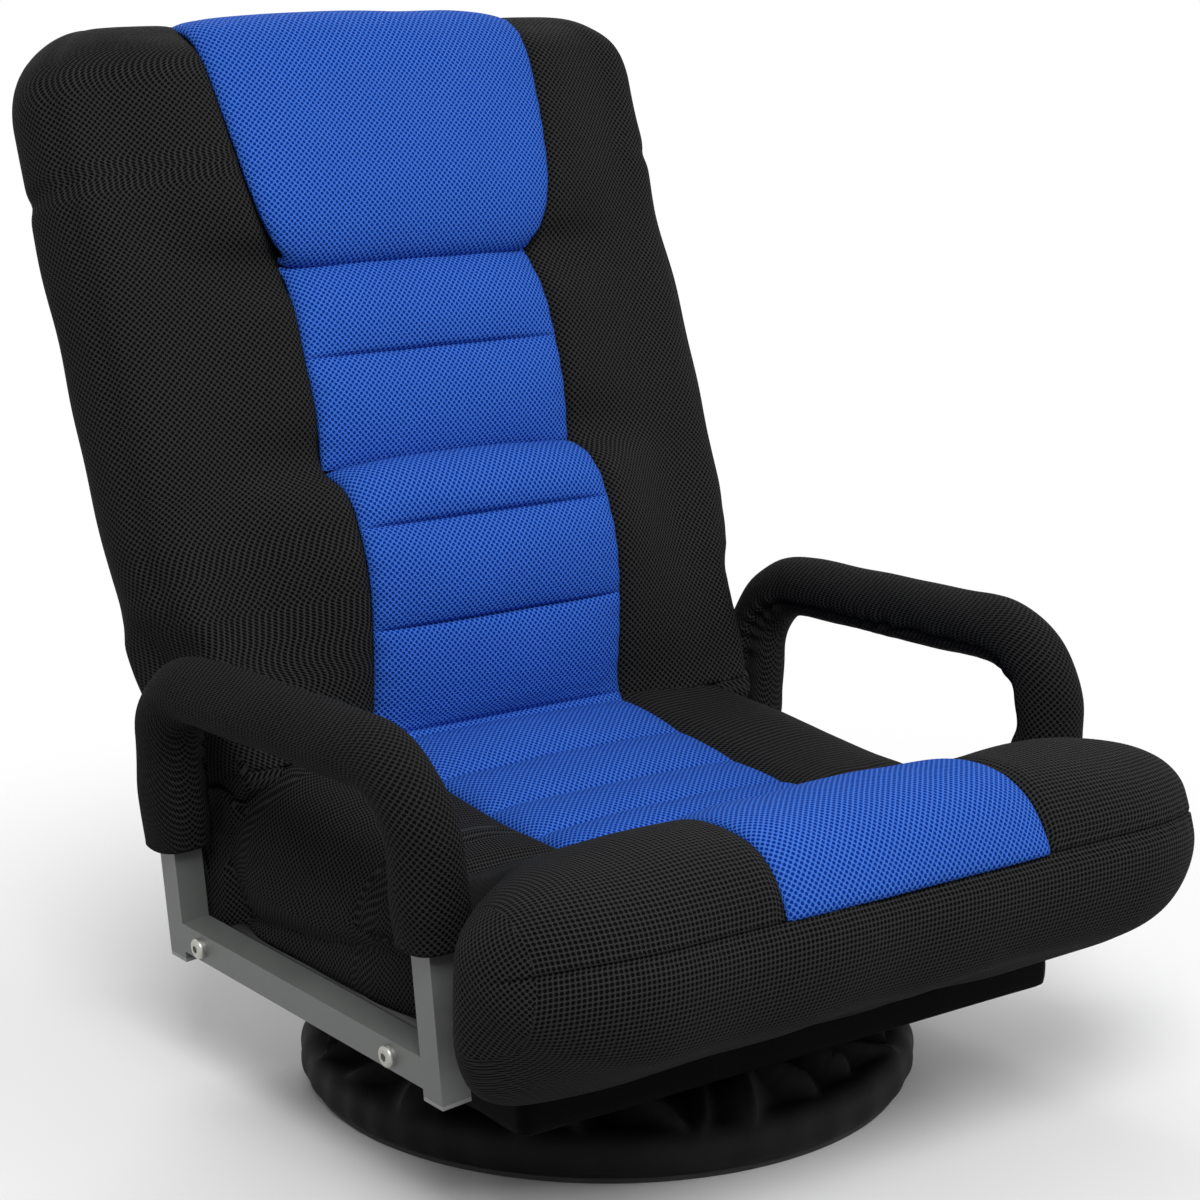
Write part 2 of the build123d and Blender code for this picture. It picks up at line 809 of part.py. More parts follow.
def headrest_pad():
    """The headrest over the front and the top of the back, on the slab's rounded edge."""
    line = [(-depth, height) for height, depth in headrest_profile]
    inside = Polyline(line[-1], (line[-1][0], line[0][1]), line[0])
    pad = extrude(Plane.YZ * make_face([Spline(*line), inside]), amount=headrest_half, both=True)
    front = -back_front - soft_gap
    top = back_top + soft_gap
    slab = polygon([(front, back_start), (back_rear, back_start), (back_rear, top), (front, top)])
    slab = fillet(slab.vertices().group_by(Axis.Y)[-1].sort_by(Axis.X)[0], back_edge_round + soft_gap)
    pad = pad - extrude(Plane.YZ * slab, amount=2 * headrest_half, both=True)
    return lean_back(pad & headrest_prism(0))


def upper_back_pad():
    return lean_back(channel_pad([upper_lower_channel, upper_upper_channel], pad_half))


def lumbar_pad():
    return lean_back(channel_pad([lumbar_low_channel, lumbar_mid_channel, lumbar_top_channel], pad_half))


# Seat cushion from the hinge to the valley: flat underneath, hollowed around the back's round lower end
def seat_block(half_width):
    top = Spline(*seat_profile)
    rear = seat_profile[0]
    front = seat_profile[-1]
    bottom = Polyline(front, (front[0], seat_bottom), (rear[0], seat_bottom), rear)
    return extrude(Plane.YZ * make_face([top, bottom]), amount=half_width, both=True)


def seat_blue(depth, half_width, rear):
    """The band under the middle of the seat's top surface."""
    band = seat_block(half_width) - Pos(0, 0, -depth) * seat_block(2 * half_width)
    low = (-half_width, seat_profile[-1][0] - 1, seat_bottom + depth)
    return band & block(low, (half_width, rear, seat_profile[-1][1] + depth))


def seat_cushion():
    body = seat_block(seat_half)
    body = fillet(body.edges().filter_by(GeomType.BSPLINE), seat_edge_round)
    reach = seat_half + 1
    body = body - along_hinge(hub_radius + soft_gap, -reach, reach, (pivot_y, pivot_z))
    return body - seat_blue(blue_depth + soft_gap, pad_half + soft_gap, seat_blue_rear + soft_gap)


def seat_pad():
    return seat_blue(blue_depth, pad_half, seat_blue_rear)


# Front bolster: a thick roll with rounded ends, and the slope behind it down to the valley
def bolster_section(depth):
    """The roll's side view, or what is left of it under a layer of the given depth."""
    rear = seat_front - soft_gap
    step = bolster_rear_y - soft_gap
    points = [(rear, valley_height), *bolster_profile, (bolster_foot_y, bolster_bottom)]
    points = shifted(points, depth)
    end = rear + 2 * depth
    corners = [points[-1], (step, points[-1][1]), (step, seat_bottom), (end, seat_bottom)]
    if depth > 0:
        corners.append((end, points[0][1]))
    return make_face([Spline(*points), Polyline(*corners, points[0])])


def bolster_band(depth, gap):
    """The blue band over the slope, top and front of the roll, or the room for it with a gap all round."""
    half_width = pad_half + gap
    band = extrude(Plane.YZ * bolster_section(0), amount=half_width, both=True)
    band = band - extrude(Plane.YZ * bolster_section(depth + gap), amount=2 * half_width, both=True)
    high = bolster_top + 1
    middle = (bolster_bottom + bolster_top) / 2
    seam = bolster_seam_height - gap
    front = block((-half_width, bolster_front - 1, seam), (half_width, bolster_crest_y, high))
    slope = block((-half_width, bolster_crest_y, middle), (half_width, seat_front, high))
    return band & (front + slope)


def front_bolster():
    half = bolster_half
    rear = seat_front - soft_gap
    step = bolster_rear_y - soft_gap
    front = bolster_front - 1
    high = bolster_top + 1
    plan = polygon([(-half, front), (half, front), (half, step), (-half, step)])
    plan = fillet(plan.vertices().group_by(Axis.Y)[0], bolster_front_corner)
    plan = fillet(plan.vertices().group_by(Axis.Y)[-1], bolster_rear_corner)
    inner = seat_half
    plan = plan + polygon([(-inner, step - 1), (inner, step - 1), (inner, rear), (-inner, rear)])
    low = bolster_bottom
    face = polygon([(-half, low), (half, low), (half, high), (-half, high)])
    face = fillet(face.vertices(), bolster_end_round)
    roll = extrude(Plane.YZ * bolster_section(0), amount=half, both=True)
    roll = roll & extrude(plan, amount=2 * high)
    roll = roll & Pos(0, rear + 1, 0) * extrude(Plane.XZ * face, amount=rear - front + 2)
    for x in (-side_tube_x, side_tube_x):
        reach = side_tube_front - soft_gap
        roll = roll - cylinder(tube_radius + soft_gap, (x, reach, side_z), (x, step + 1, side_z))
    return roll - bolster_band(blue_depth, soft_gap)


def bolster_pad():
    return bolster_band(blue_depth, 0)


parts["base_foot_ring"] = base_foot_ring()
parts["base_ring"] = base_ring()
parts["base_long_spoke"] = base_long_spoke()
parts["base_short_spokes"] = base_short_spokes()
parts["base_cover"] = base_cover()
parts["swivel_lower_plate"] = swivel_lower_plate()
parts["swivel_balls"] = swivel_balls()
parts["swivel_ball_cage"] = swivel_ball_cage()
parts["base_plate_bolts"] = base_plate_bolts()
parts["base_plate_nuts"] = base_plate_nuts()

parts["swivel_upper_plate"] = swivel_upper_plate()
parts["king_pin"] = king_pin()
parts["seat_plate_bolts"] = seat_plate_bolts()
parts["seat_plate_nuts"] = seat_plate_nuts()
parts["seat_carriers"] = seat_carriers()
parts["seat_front_tube"] = cross_tube(front_tube_y)
parts["seat_rear_tube"] = cross_tube(rear_tube_y)
add_pair("seat_side_tube", seat_side_tube())
parts["seat_straps"] = seat_straps()
parts["seat_bottom_cover"] = seat_bottom_cover()
parts["seat_cushion"] = seat_cushion()
parts["seat_pad"] = seat_pad()
parts["front_bolster"] = front_bolster()
parts["bolster_pad"] = bolster_pad()

add_pair("arm_loop", arm_loop())
add_pair("side_rail", side_rail())
add_pair("arm_sleeve", arm_sleeve())
for name, solids in (
    ("arm_end_caps", arm_end_caps()),
    ("arm_bolts", arm_bolts()),
    ("arm_nuts", arm_nuts()),
    ("arm_spacers", arm_spacers()),
):
    parts[name] = [copy for solid in solids for copy in both_sides(solid)]

add_pair("outer_cheek", side_slab(cheek_outline(), outer_cheek_x, cheek_thickness))
add_pair("inner_cheek", side_slab(cheek_outline(), inner_cheek_x, cheek_thickness))
add_pair("hinge_pin", hinge_pin())
add_pair("pawl_pin", pawl_pin())
add_pair("pawl_spring", pawl_spring())
add_pair("pawl", pawl())
add_pair("notched_wheel", notched_wheel())

parts["back_frame_tube"] = back_frame_tube()
parts["back_cross_tubes"] = back_cross_tubes()
parts["back_straps"] = back_straps()
parts["back_cushion"] = back_cushion()
parts["headrest_pad"] = headrest_pad()
parts["upper_back_pad"] = upper_back_pad()
parts["lumbar_pad"] = lumbar_pad()

os.makedirs("parts", exist_ok=True)
for name, shape in parts.items():
    if isinstance(shape, list):
        shape = Compound(children=[solid for piece in shape for solid in piece.solids()])
    export_step(shape, "parts/" + name + ".step")
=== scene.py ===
import math
import bmesh
import bpy
import numpy as np
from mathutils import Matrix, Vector


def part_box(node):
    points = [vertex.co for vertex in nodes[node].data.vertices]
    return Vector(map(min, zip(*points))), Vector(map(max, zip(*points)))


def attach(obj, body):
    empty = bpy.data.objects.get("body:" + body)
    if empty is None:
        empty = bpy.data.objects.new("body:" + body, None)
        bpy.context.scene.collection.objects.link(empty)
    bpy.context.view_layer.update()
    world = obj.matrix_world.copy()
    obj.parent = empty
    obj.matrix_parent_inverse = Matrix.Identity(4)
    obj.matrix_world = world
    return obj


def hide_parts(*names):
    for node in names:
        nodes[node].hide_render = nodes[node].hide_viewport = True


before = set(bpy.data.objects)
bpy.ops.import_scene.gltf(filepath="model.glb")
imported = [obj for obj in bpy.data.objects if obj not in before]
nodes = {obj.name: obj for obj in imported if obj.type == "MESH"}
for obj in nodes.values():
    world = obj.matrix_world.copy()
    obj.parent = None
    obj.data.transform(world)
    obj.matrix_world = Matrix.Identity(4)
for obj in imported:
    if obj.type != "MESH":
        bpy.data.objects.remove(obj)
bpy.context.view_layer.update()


# Base frame: a ring of round tube on a rubber strip, with cranked flat spokes welded across it.
# The steel is sprayed satin black; the strip is moulded rubber, dusty where it meets the floor.
class Wire:
    """A socket in a material's nodes. Sums on it add Math nodes, and node() adds any other kind."""

    def __init__(self, tree, socket=None):
        self.tree = tree
        self.socket = socket

    def node(self, kind, settings, inputs, out=0):
        made = self.tree.nodes.new("ShaderNode" + kind)
        for name, value in settings.items():
            setattr(made, name, value)
        for name, value in inputs.items():
            if isinstance(value, Wire):
                self.tree.links.new(value.socket, made.inputs[name])
            else:
                made.inputs[name].default_value = value
        return Wire(self.tree, made.outputs[out])

    def sum(self, operation, *values):
        """A Math node over the values, or over this socket alone where none are given."""
        return self.node("Math", {"operation": operation}, dict(enumerate(values or (self,))))

    def axis(self, number):
        """One of the three coordinates in this socket."""
        return self.node("SeparateXYZ", {}, {0: self}, number)

    def __add__(self, other):
        return self.sum("ADD", self, other)

    def __radd__(self, other):
        return self.sum("ADD", other, self)

    def __sub__(self, other):
        return self.sum("SUBTRACT", self, other)

    def __rsub__(self, other):
        return self.sum("SUBTRACT", other, self)

    def __mul__(self, other):
        return self.sum("MULTIPLY", self, other)

    def __rmul__(self, other):
        return self.sum("MULTIPLY", other, self)

    def __truediv__(self, other):
        return self.sum("DIVIDE", self, other)

    def ramp(self, low, high):
        """0 below low, 1 above high, and smooth between them."""
        settings = {"interpolation_type": "SMOOTHSTEP"}
        return self.node("MapRange", settings, {"Value": self, "From Min": low, "From Max": high})

    def colours(self, first, second):
        """The first colour where this is 0 and the second where it is 1."""
        first = first if isinstance(first, Wire) else (*first, 1)
        second = second if isinstance(second, Wire) else (*second, 1)
        return self.node("Mix", {"data_type": "RGBA"}, {0: self, 6: first, 7: second}, 2)

    def noise(self, scale, detail):
        """Cloudy grain over the coordinates in this socket, with so many features to the metre."""
        return self.node("TexNoise", {}, {"Vector": self, "Scale": scale, "Detail": detail})

    def bump(self, distance, strength):
        return self.node("Bump", {}, {"Height": self, "Distance": distance, "Strength": strength})


def new_finish(name):
    """A material with its shader, and a wire to start its nodes from."""
    material = bpy.data.materials.new(name)
    material.use_nodes = True
    return material, material.node_tree.nodes["Principled BSDF"], Wire(material.node_tree)


def feed(shader, **sockets):
    """Sets the shader's sockets: underscores stand for the spaces in their names."""
    for name, value in sockets.items():
        socket = shader.inputs[name.replace("_", " ")]
        if isinstance(value, Wire):
            value.tree.links.new(value.socket, socket)
        elif isinstance(value, tuple):
            socket.default_value = (*value, 1)
        else:
            socket.default_value = value


def dress(material, *names):
    """Gives CAD nodes their material."""
    for name in names:
        nodes[name].data.materials.clear()
        nodes[name].data.materials.append(material)


def sprayed_steel(name, colour, worn, gloss):
    """Sprayed tube: fine orange peel, faint dust, and a paler, duller wear in patches."""
    material, shader, start = new_finish(name)
    place = start.node("TexCoord", {}, {}, "Object")
    cloud = place.noise(18, 4)
    peel = place.noise(900, 2)
    rub = place.noise(60, 6).ramp(0.58, 0.78)
    feed(
        shader,
        Base_Color=(cloud.ramp(0.35, 0.7) * 0.35 + rub * 0.3).colours(colour, worn),
        Roughness=cloud * 0.2 + rub * 0.12 + gloss,
        Metallic=0.15,
        Normal=(peel + rub * 0.6).bump(0.00012, 0.5),
    )
    return material


black_steel = sprayed_steel("black_sprayed_steel", (0.012, 0.012, 0.013), (0.04, 0.04, 0.042), 0.32)
dress(black_steel, "base_ring", "base_long_spoke", "base_short_spokes")

rubber, shader, start = new_finish("moulded_rubber")
place = start.node("TexCoord", {}, {}, "Object")
dust = place.noise(45, 5).ramp(0.5, 0.75)
feed(
    shader,
    Base_Color=dust.colours((0.014, 0.014, 0.015), (0.05, 0.048, 0.045)),
    Roughness=dust * 0.15 + 0.72,
    Normal=place.noise(1400, 2).bump(0.0002, 0.6),
)
dress(rubber, "base_foot_ring")


# Base cover: thin black nylon drawn over the ring with a cord, so that it is tight and smooth round the rim
# and falls into irregular folds over the spokes, up to the neck under the swivel.
def through(knots, values, at):
    """A smooth line through the given values."""
    knots = np.array(knots, float)
    values = np.array(values, float)
    at = np.clip(at, knots[0], knots[-1])
    slope = np.gradient(values, knots)
    i = np.clip(np.searchsorted(knots, at) - 1, 0, len(knots) - 2)
    span = knots[i + 1] - knots[i]
    q = (at - knots[i]) / span
    start = (1 + 2 * q) * (1 - q) ** 2 * values[i] + q * (1 - q) ** 2 * span * slope[i]
    return start + q * q * (3 - 2 * q) * values[i + 1] + q * q * (q - 1) * span * slope[i + 1]


def ease(value, low, high):
    """0 below low, 1 above high, and smooth between them."""
    q = np.clip((value - low) / (high - low), 0, 1)
    return q * q * (3 - 2 * q)


def along_line(points):
    """How far along a line each of its points lies."""
    return np.concatenate([[0], np.cumsum(np.linalg.norm(np.diff(points, axis=0), axis=1))])


def spread(points, count, power=1.0):
    """A line through the points in equal steps, or with a power in steps that grow from its start."""
    points = np.array(points, float)
    run = along_line(points)
    fine = np.linspace(0, run[-1], 40 * len(points))
    line = np.stack([through(run, column, fine) for column in points.T], 1)
    run = along_line(line)
    at = run[-1] * np.linspace(0, 1, count) ** power
    return np.stack([np.interp(at, run, column) for column in line.T], 1)


def ripple(points, size, seed):
    """A smooth wave through space, about -1 to 1, with swells of about the given size."""
    chance = np.random.default_rng(seed)
    total = 0
    for _ in range(7):
        way = chance.normal(size=3)
        way = way / np.linalg.norm(way) * 2 * np.pi / size * chance.uniform(0.6, 1.5)
        total = total + np.sin(points @ way + chance.uniform(0, 6.3))
    return total / 3.7


def cloth_mesh(name, points, middle=0, level=False, bias=0.0):
    """A mesh from rows of points round a piece. Its UV map runs in metres from the middle column.

    On level cloth each row of the knit follows a row of points. The bias turns the knit on the cloth.
    """
    rows, columns = points.shape[:2]
    step = np.linalg.norm(np.roll(points, -1, 1) - points, axis=2)
    across = np.concatenate([np.zeros((rows, 1)), np.cumsum(step, 1)], 1)
    across = across - across[:, middle:middle + 1]
    climb = np.linalg.norm(np.diff(points, axis=0, prepend=points[:1]), axis=2)
    if level:
        climb = np.repeat(climb.mean(1, keepdims=True), columns, 1)
    along = np.cumsum(climb, 0)
    along = np.concatenate([along, along[:, :1]], 1)
    turned = np.exp(1j * bias) * (across + 1j * along)
    i, j = np.meshgrid(np.arange(rows - 1), np.arange(columns), indexing="ij")
    i, j = i.ravel(), j.ravel()
    corners = [(i, j), (i, j + 1), (i + 1, j + 1), (i + 1, j)]
    faces = np.stack([a * columns + b % columns for a, b in corners], 1)
    flat = np.stack([np.stack([turned[a, b].real, turned[a, b].imag], 1) for a, b in corners], 1)
    mesh = bpy.data.meshes.new(name)
    mesh.from_pydata(points.reshape(-1, 3).tolist(), [], faces.tolist())
    mesh.uv_layers.new(name="cloth").data.foreach_set("uv", flat.astype(np.float32).ravel())
    piece = bpy.data.objects.new(name, mesh)
    bpy.context.scene.collection.objects.link(piece)
    return piece


def close_up(piece):
    """Merges points that lie together, turns the faces outwards and smooths the shading."""
    shape = bmesh.new()
    shape.from_mesh(piece.data)
    bmesh.ops.remove_doubles(shape, verts=shape.verts, dist=0.00005)
    bmesh.ops.dissolve_degenerate(shape, edges=shape.edges, dist=0.00001)
    ends = [edge for edge in shape.edges if edge.is_boundary]
    bmesh.ops.holes_fill(shape, edges=ends, sides=0)
    bmesh.ops.recalc_face_normals(shape, faces=shape.faces)
    shape.to_mesh(piece.data)
    shape.free()
    piece.data.shade_smooth()
    return piece


def apply_modifier(piece, kind, **settings):
    for other in bpy.context.selected_objects:
        other.select_set(False)
    bpy.context.view_layer.objects.active = piece
    piece.select_set(True)
    modifier = piece.modifiers.new(kind.lower(), kind)
    for name, value in settings.items():
        setattr(modifier, name, value)
    bpy.ops.object.modifier_apply(modifier=modifier.name)


def nylon(name, deep, shine):
    """Thin black nylon: a fine plain weave with lint and a soft shine. Where its folds hang loose and sink,
    it is duller, and its colour goes near black as painted shade in the hollows.
    """
    material, shader, start = new_finish(name)
    place = start.node("UVMap", {"uv_map": "cloth"}, {}, "UV")
    threads = 5200
    weave = (place.axis(0) * threads).sum("SINE") * (place.axis(1) * threads).sum("SINE")
    cloud = place.noise(30, 5)
    lint = place.noise(700, 3).ramp(0.66, 0.76)
    pale = tuple(4.5 * c for c in deep)
    # Near-black painted shade for the hollows between the folds.
    shade = (0.0004, 0.0004, 0.0004)
    slack_and_shade = start.node("Attribute", {"attribute_name": "slack_and_shade"}, {}, "Fac")
    feed(
        shader,
        Base_Color=slack_and_shade.colours((cloud * 0.5 + lint * 0.25).colours(deep, pale), shade),
        Roughness=cloud * 0.20 + slack_and_shade * 0.25 + 0.42,
        Specular_IOR_Level=shine,
        Normal=(weave * 0.3 + place.noise(160, 4)).bump(0.0005, 0.5),
    )
    return material


base_nylon = nylon("base_nylon", (0.0092, 0.0092, 0.0095), 0.05)
nylon_thick = 0.0007
cover_rows = 64
cover_columns = 540
cover_side = spread(
    [
        (0.1935, 0.0035), (0.2005, 0.0040), (0.2045, 0.0085), (0.2060, 0.0170), (0.2035, 0.0280),
        (0.1970, 0.0385), (0.1830, 0.0470), (0.1500, 0.0545), (0.1200, 0.0600), (0.1040, 0.0615),
        (0.0960, 0.0585),
    ],
    cover_rows,
)
turn = np.linspace(0, 2 * np.pi, cover_columns, endpoint=False)
climb = np.linspace(0, 1, cover_rows)[:, None]

# Each fold is a ridge that starts above the rim and wanders to the neck. The cloth sinks between the ridges.
fold_count = 30
fold_deep = 0.0110
rim_fold = 0.0024
chance = np.random.default_rng(5)
ridge = np.zeros((cover_rows, cover_columns))
for number in range(fold_count):
    middle = 2 * np.pi * (number + chance.uniform(-0.45, 0.45)) / fold_count
    past_rim = climb - 0.35
    path = middle + chance.normal(0, 0.5) * past_rim + chance.normal(0, 0.9) * past_rim ** 2
    tip = chance.uniform(0.14, 0.32)
    wide = chance.uniform(0.032, 0.075) * (0.35 + ease(climb, tip, tip + 0.25))
    tall = chance.uniform(0.55, 1.1) * ease(climb, tip, tip + 0.10)
    off = np.abs(np.angle(np.exp(1j * (turn - path))))
    ridge = np.maximum(ridge, tall * np.exp(-((off / wide) ** 1.15)))
sunk = ease(climb, 0.20, 0.33) * (1 - ease(climb, 0.62, 0.88))
# This mask marks the sunken cloth between the ridges. The nylon paints it near black there as painted shade,
# and makes it duller.
slack_and_shade = np.clip(1 - 1.5 * ridge, 0, 1) * ease(climb, 0.18, 0.30)
lift = fold_deep * sunk * (1.45 * ridge - 1.0)
lift = lift + rim_fold * ridge * ease(climb, 0.12, 0.25) * (1 - ease(climb, 0.6, 0.85))

# The cord tugs the cloth into a fine wave round the rim.
tug_deep = 0.0006
pull = 38 * turn + 3 * np.sin(2 * turn + 0.6) + 2 * np.sin(5 * turn + 2.1)
tug = tug_deep * np.sin(pull) * ease(climb, 0.03, 0.1) * (1 - ease(climb, 0.16, 0.4))
radius = cover_side[:, :1] + 0.7 * lift * (1 - ease(climb, 0.25, 0.50)) + tug
height = cover_side[:, 1:] + lift * ease(climb, 0.20, 0.40)
ring = np.stack([radius * np.cos(turn), radius * np.sin(turn), height], 2)
base_cover = cloth_mesh("base_cover_cloth", ring)
# The mask goes on the mesh to carry the nylon's painted shade and dullness.
slack_and_shade_layer = base_cover.data.attributes.new("slack_and_shade", "FLOAT", "POINT")
slack_and_shade_layer.data.foreach_set("value", slack_and_shade.astype(np.float32).ravel())
base_cover.data.shade_smooth()
apply_modifier(base_cover, "SOLIDIFY", thickness=nylon_thick, offset=-1)
base_cover.data.materials.append(base_nylon)
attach(base_cover, "base")
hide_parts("base_cover")


# Swivel: two pressed and zinc-plated plates with balls in a cage between them, on a king pin,
# bolted to the spokes below and to the seat's two box carriers above.
def plated_steel(name, colour, rough):
    """Bright plate with fine drawing marks and cloudy passivation."""
    material, shader, start = new_finish(name)
    place = start.node("TexCoord", {}, {}, "Object")
    cloud = place.noise(70, 4)
    brush = place.node("Mapping", {}, {"Vector": place, "Scale": (1, 1, 14)}).noise(320, 3)
    tint = cloud.colours(colour, tuple(0.72 * c for c in colour))
    feed(
        shader,
        Base_Color=tint,
        Metallic=1.0,
        Roughness=cloud * 0.22 + brush * 0.12 + rough,
        Normal=brush.bump(0.00008, 0.4),
    )
    return material


zinc = plated_steel("zinc_plate", (0.62, 0.62, 0.58), 0.16)
dress(zinc, "swivel_lower_plate", "swivel_upper_plate", "swivel_balls", "king_pin", "base_plate_bolts")
dress(zinc, "base_plate_nuts", "seat_plate_bolts", "seat_plate_nuts")

cage_nylon, shader, start = new_finish("cage_nylon")
place = start.node("TexCoord", {}, {}, "Object")
cloud = place.noise(120, 4)
feed(
    shader,
    Base_Color=cloud.colours((0.62, 0.61, 0.56), (0.74, 0.73, 0.68)),
    Roughness=cloud * 0.2 + 0.35,
    Normal=cloud.bump(0.0001, 0.4),
)
dress(cage_nylon, "swivel_ball_cage")


# Seat frame: box carriers on the swivel, cross tubes, side tubes and a web of woven straps under the foam.
# The tubes are sprayed black; the straps are black polypropylene webbing.
dress(black_steel, "seat_carriers", "seat_front_tube", "seat_rear_tube")
dress(black_steel, "seat_side_tube_left", "seat_side_tube_right")

webbing, shader, start = new_finish("webbing")
place = start.node("TexCoord", {}, {}, "Object")
threads = 2900
ribs = 1400
rib = (place.axis(1) * threads).sum("SINE") * (place.axis(0) * ribs).sum("SINE")
feed(
    shader,
    Base_Color=(rib * 0.5 + 0.5).colours((0.008, 0.008, 0.008), (0.03, 0.03, 0.031)),
    Roughness=place.noise(200, 3) * 0.2 + 0.6,
    Normal=rib.bump(0.0006, 0.8),
)
dress(webbing, "seat_straps", "back_straps")


# Cloth under the seat: one smooth black panel stretched over the frame from below and stapled to it,
# with its sides turned up round the cross tubes and a square opening for the swivel plate.
def rounded_square(half_x, low_y, high_y, corner, count):
    """Points round a rectangle with rounded corners, started in the middle of the front."""
    corner = min(corner, half_x * 0.99, (high_y - low_y) * 0.495)
    arcs = [(-90, half_x - corner, low_y + corner), (0, half_x - corner, high_y - corner)]
    arcs = arcs + [(90, corner - half_x, high_y - corner), (180, corner - half_x, low_y + corner)]
    line = [(0.0, low_y)]
    for first, x, y in arcs:
        for angle in np.radians(np.linspace(first, first + 90, 12)):
            line.append((x + corner * math.cos(angle), y + corner * math.sin(angle)))
    line = np.array(line + [(0.0, low_y)])
    run = along_line(line)
    at = np.linspace(0, run[-1], count, endpoint=False)
    return np.stack([np.interp(at, run, line[:, 0]), np.interp(at, run, line[:, 1])], 1)


tray_low, tray_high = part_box("seat_bottom_cover")
cloth_thick = 0.0008
tray_columns = 420
turned_up = 5
opening_half = 0.0760
opening = rounded_square(opening_half, -opening_half, opening_half, 0.010, tray_columns)
tray_rows = []
for inset, rise, corner in [
    (0.0040, 0.0250, 0.003), (0.0008, 0.0244, 0.004), (0.0002, 0.0195, 0.005), (0.0000, 0.0120, 0.005),
    (0.0002, 0.0060, 0.005), (0.0008, 0.0018, 0.005), (0.0030, 0.0002, 0.006), (0.0300, 0.0002, 0.020),
    (0.0600, 0.0003, 0.024), (0.0900, 0.0004, 0.024), (0.1180, 0.0004, 0.012),
]:
    front = tray_low.y + inset
    rear = tray_high.y - inset
    outline = rounded_square(tray_high.x - inset, front, rear, corner, tray_columns)
    mix = ease(np.array(inset), 0.02, 0.118)
    outline = outline * (1 - mix) + opening * mix
    tray_rows.append(np.column_stack([outline, np.full(tray_columns, tray_low.z + rise)]))
tray_rows = np.array(tray_rows)
tray_rows[:, :, 2] += 0.0007 * ripple(tray_rows, 0.07, 3)
tray_rows[:turned_up, :, 1] += 0.0006 * ripple(tray_rows[:turned_up], 0.05, 4)
bottom_cloth = cloth_mesh("seat_bottom_cloth", tray_rows)
bottom_cloth.data.shade_smooth()
apply_modifier(bottom_cloth, "SOLIDIFY", thickness=cloth_thick, offset=-1)
# The under-seat cloth gets a far darker nylon than the base cover. This is painted shade for the shadow under
# the front roll and the seat.
bottom_cloth.data.materials.append(nylon("bottom_cloth_painted_shade_nylon", (0.0012, 0.0012, 0.0013), 0.02))
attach(bottom_cloth, "seat")
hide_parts("seat_bottom_cover")


# Seat cushion: a foam slab in a sewn cover of black air mesh, from the hinge to the valley behind the front
# roll. Its sides stand over the rails, with a welt seam low on each side, and its middle is sunk for the
# blue panel. At the rear a round cheek pad on each side is sewn over the recliner.
def air_mesh(name, thread, pit, knit):
    """Knitted spacer mesh: staggered round holes in a soft matt face, with fuzz and a little fading.

    The knit is the step from hole to hole, the step from row to row, and the radius of a hole.
    """
    pitch, row, hole = knit
    material, shader, start = new_finish(name)
    place = start.node("UVMap", {"uv_map": "cloth"}, {}, "UV")
    sway = 0.0006
    along = place.axis(0) + place.noise(55, 2) * sway
    across = place.axis(1) + place.noise(47, 2) * sway
    nearest = None
    for shift in (0.0, 0.5):
        a = (along / pitch + shift).sum("FRACT") - 0.5
        b = ((across / (2 * row) + shift).sum("FRACT") - 0.5) * (2 * row / pitch)
        far = (a * a + b * b).sum("SQRT")
        nearest = far if nearest is None else nearest.sum("MINIMUM", nearest, far)
    solid = nearest.ramp(hole / pitch * 0.72, hole / pitch * 1.28)
    fuzz = place.noise(1900, 2)
    faded = place.noise(9, 3)
    loops = (across * 3600 + along * 1200).sum("SINE")
    dark = tuple(0.8 * c for c in thread)
    lit = tuple(1.28 * c for c in thread)
    feed(
        shader,
        Base_Color=solid.colours(pit, (fuzz.ramp(0.3, 0.75) * 0.6 + faded * 0.4).colours(dark, lit)),
        Roughness=fuzz * 0.15 + 0.78,
        Specular_IOR_Level=0.06,
        Normal=(solid + loops * 0.08 + fuzz * 0.12).bump(0.0011, 0.75),
    )
    return material


black_pit = (0.0006, 0.0006, 0.0007)
black_knit = (0.0043, 0.00215, 0.00112)
black_mesh = air_mesh("black_air_mesh", (0.0270, 0.0270, 0.0271), black_pit, black_knit)
pad_half = 0.102


def padded_piece(piece, material, body, node):
    piece.data.materials.append(material)
    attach(piece, body)
    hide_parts(node)


def on_seat(x, y, z):
    return np.stack(np.broadcast_arrays(x, y, z), -1)


def both_sides(half):
    """A row of points all the way round, from those of one side."""
    return np.concatenate([half, half[-2:0:-1] * (-1, 1)])


def seat_top(y):
    """The height of the seam beside the blue panel."""
    return through(
        [-0.1040, -0.0900, -0.0350, 0.0190, 0.0690, 0.1100, 0.1300],
        [0.1955, 0.1955, 0.1960, 0.2010, 0.2075, 0.2130, 0.2150],
        y,
    )


def side_pad(outline, middle, inner, outer, place):
    """Rows of points for a flat pad with a puffed outer face, on an outline in the side view."""
    outline = spread(outline + outline[:1], 97)[:-1]
    inside = [(0.02, 0.0), (0.5, 0.0), (0.97, 0.0)]
    edge = [(1.0, 0.15), (1.0, 0.82), (0.985, 0.93), (0.95, 0.985)]
    outside = [(0.85, 1.0), (0.4, 1.0), (0.02, 1.0)]
    rows = []
    for size, depth in inside + edge + outside:
        flat = np.array(middle) + (outline - middle) * size
        rows.append(place(inner + (outer - inner) * depth, flat[:, 0], flat[:, 1]))
    return np.array(rows)


def flat_cloth(piece):
    """Lays the knit flat on the piece's side."""
    points = np.array([piece.data.vertices[loop.vertex_index].co for loop in piece.data.loops])
    points[:, 2] += np.abs(points[:, 0])
    piece.data.uv_layers["cloth"].data.foreach_set("uv", points[:, 1:].astype(np.float32).ravel())
    return piece


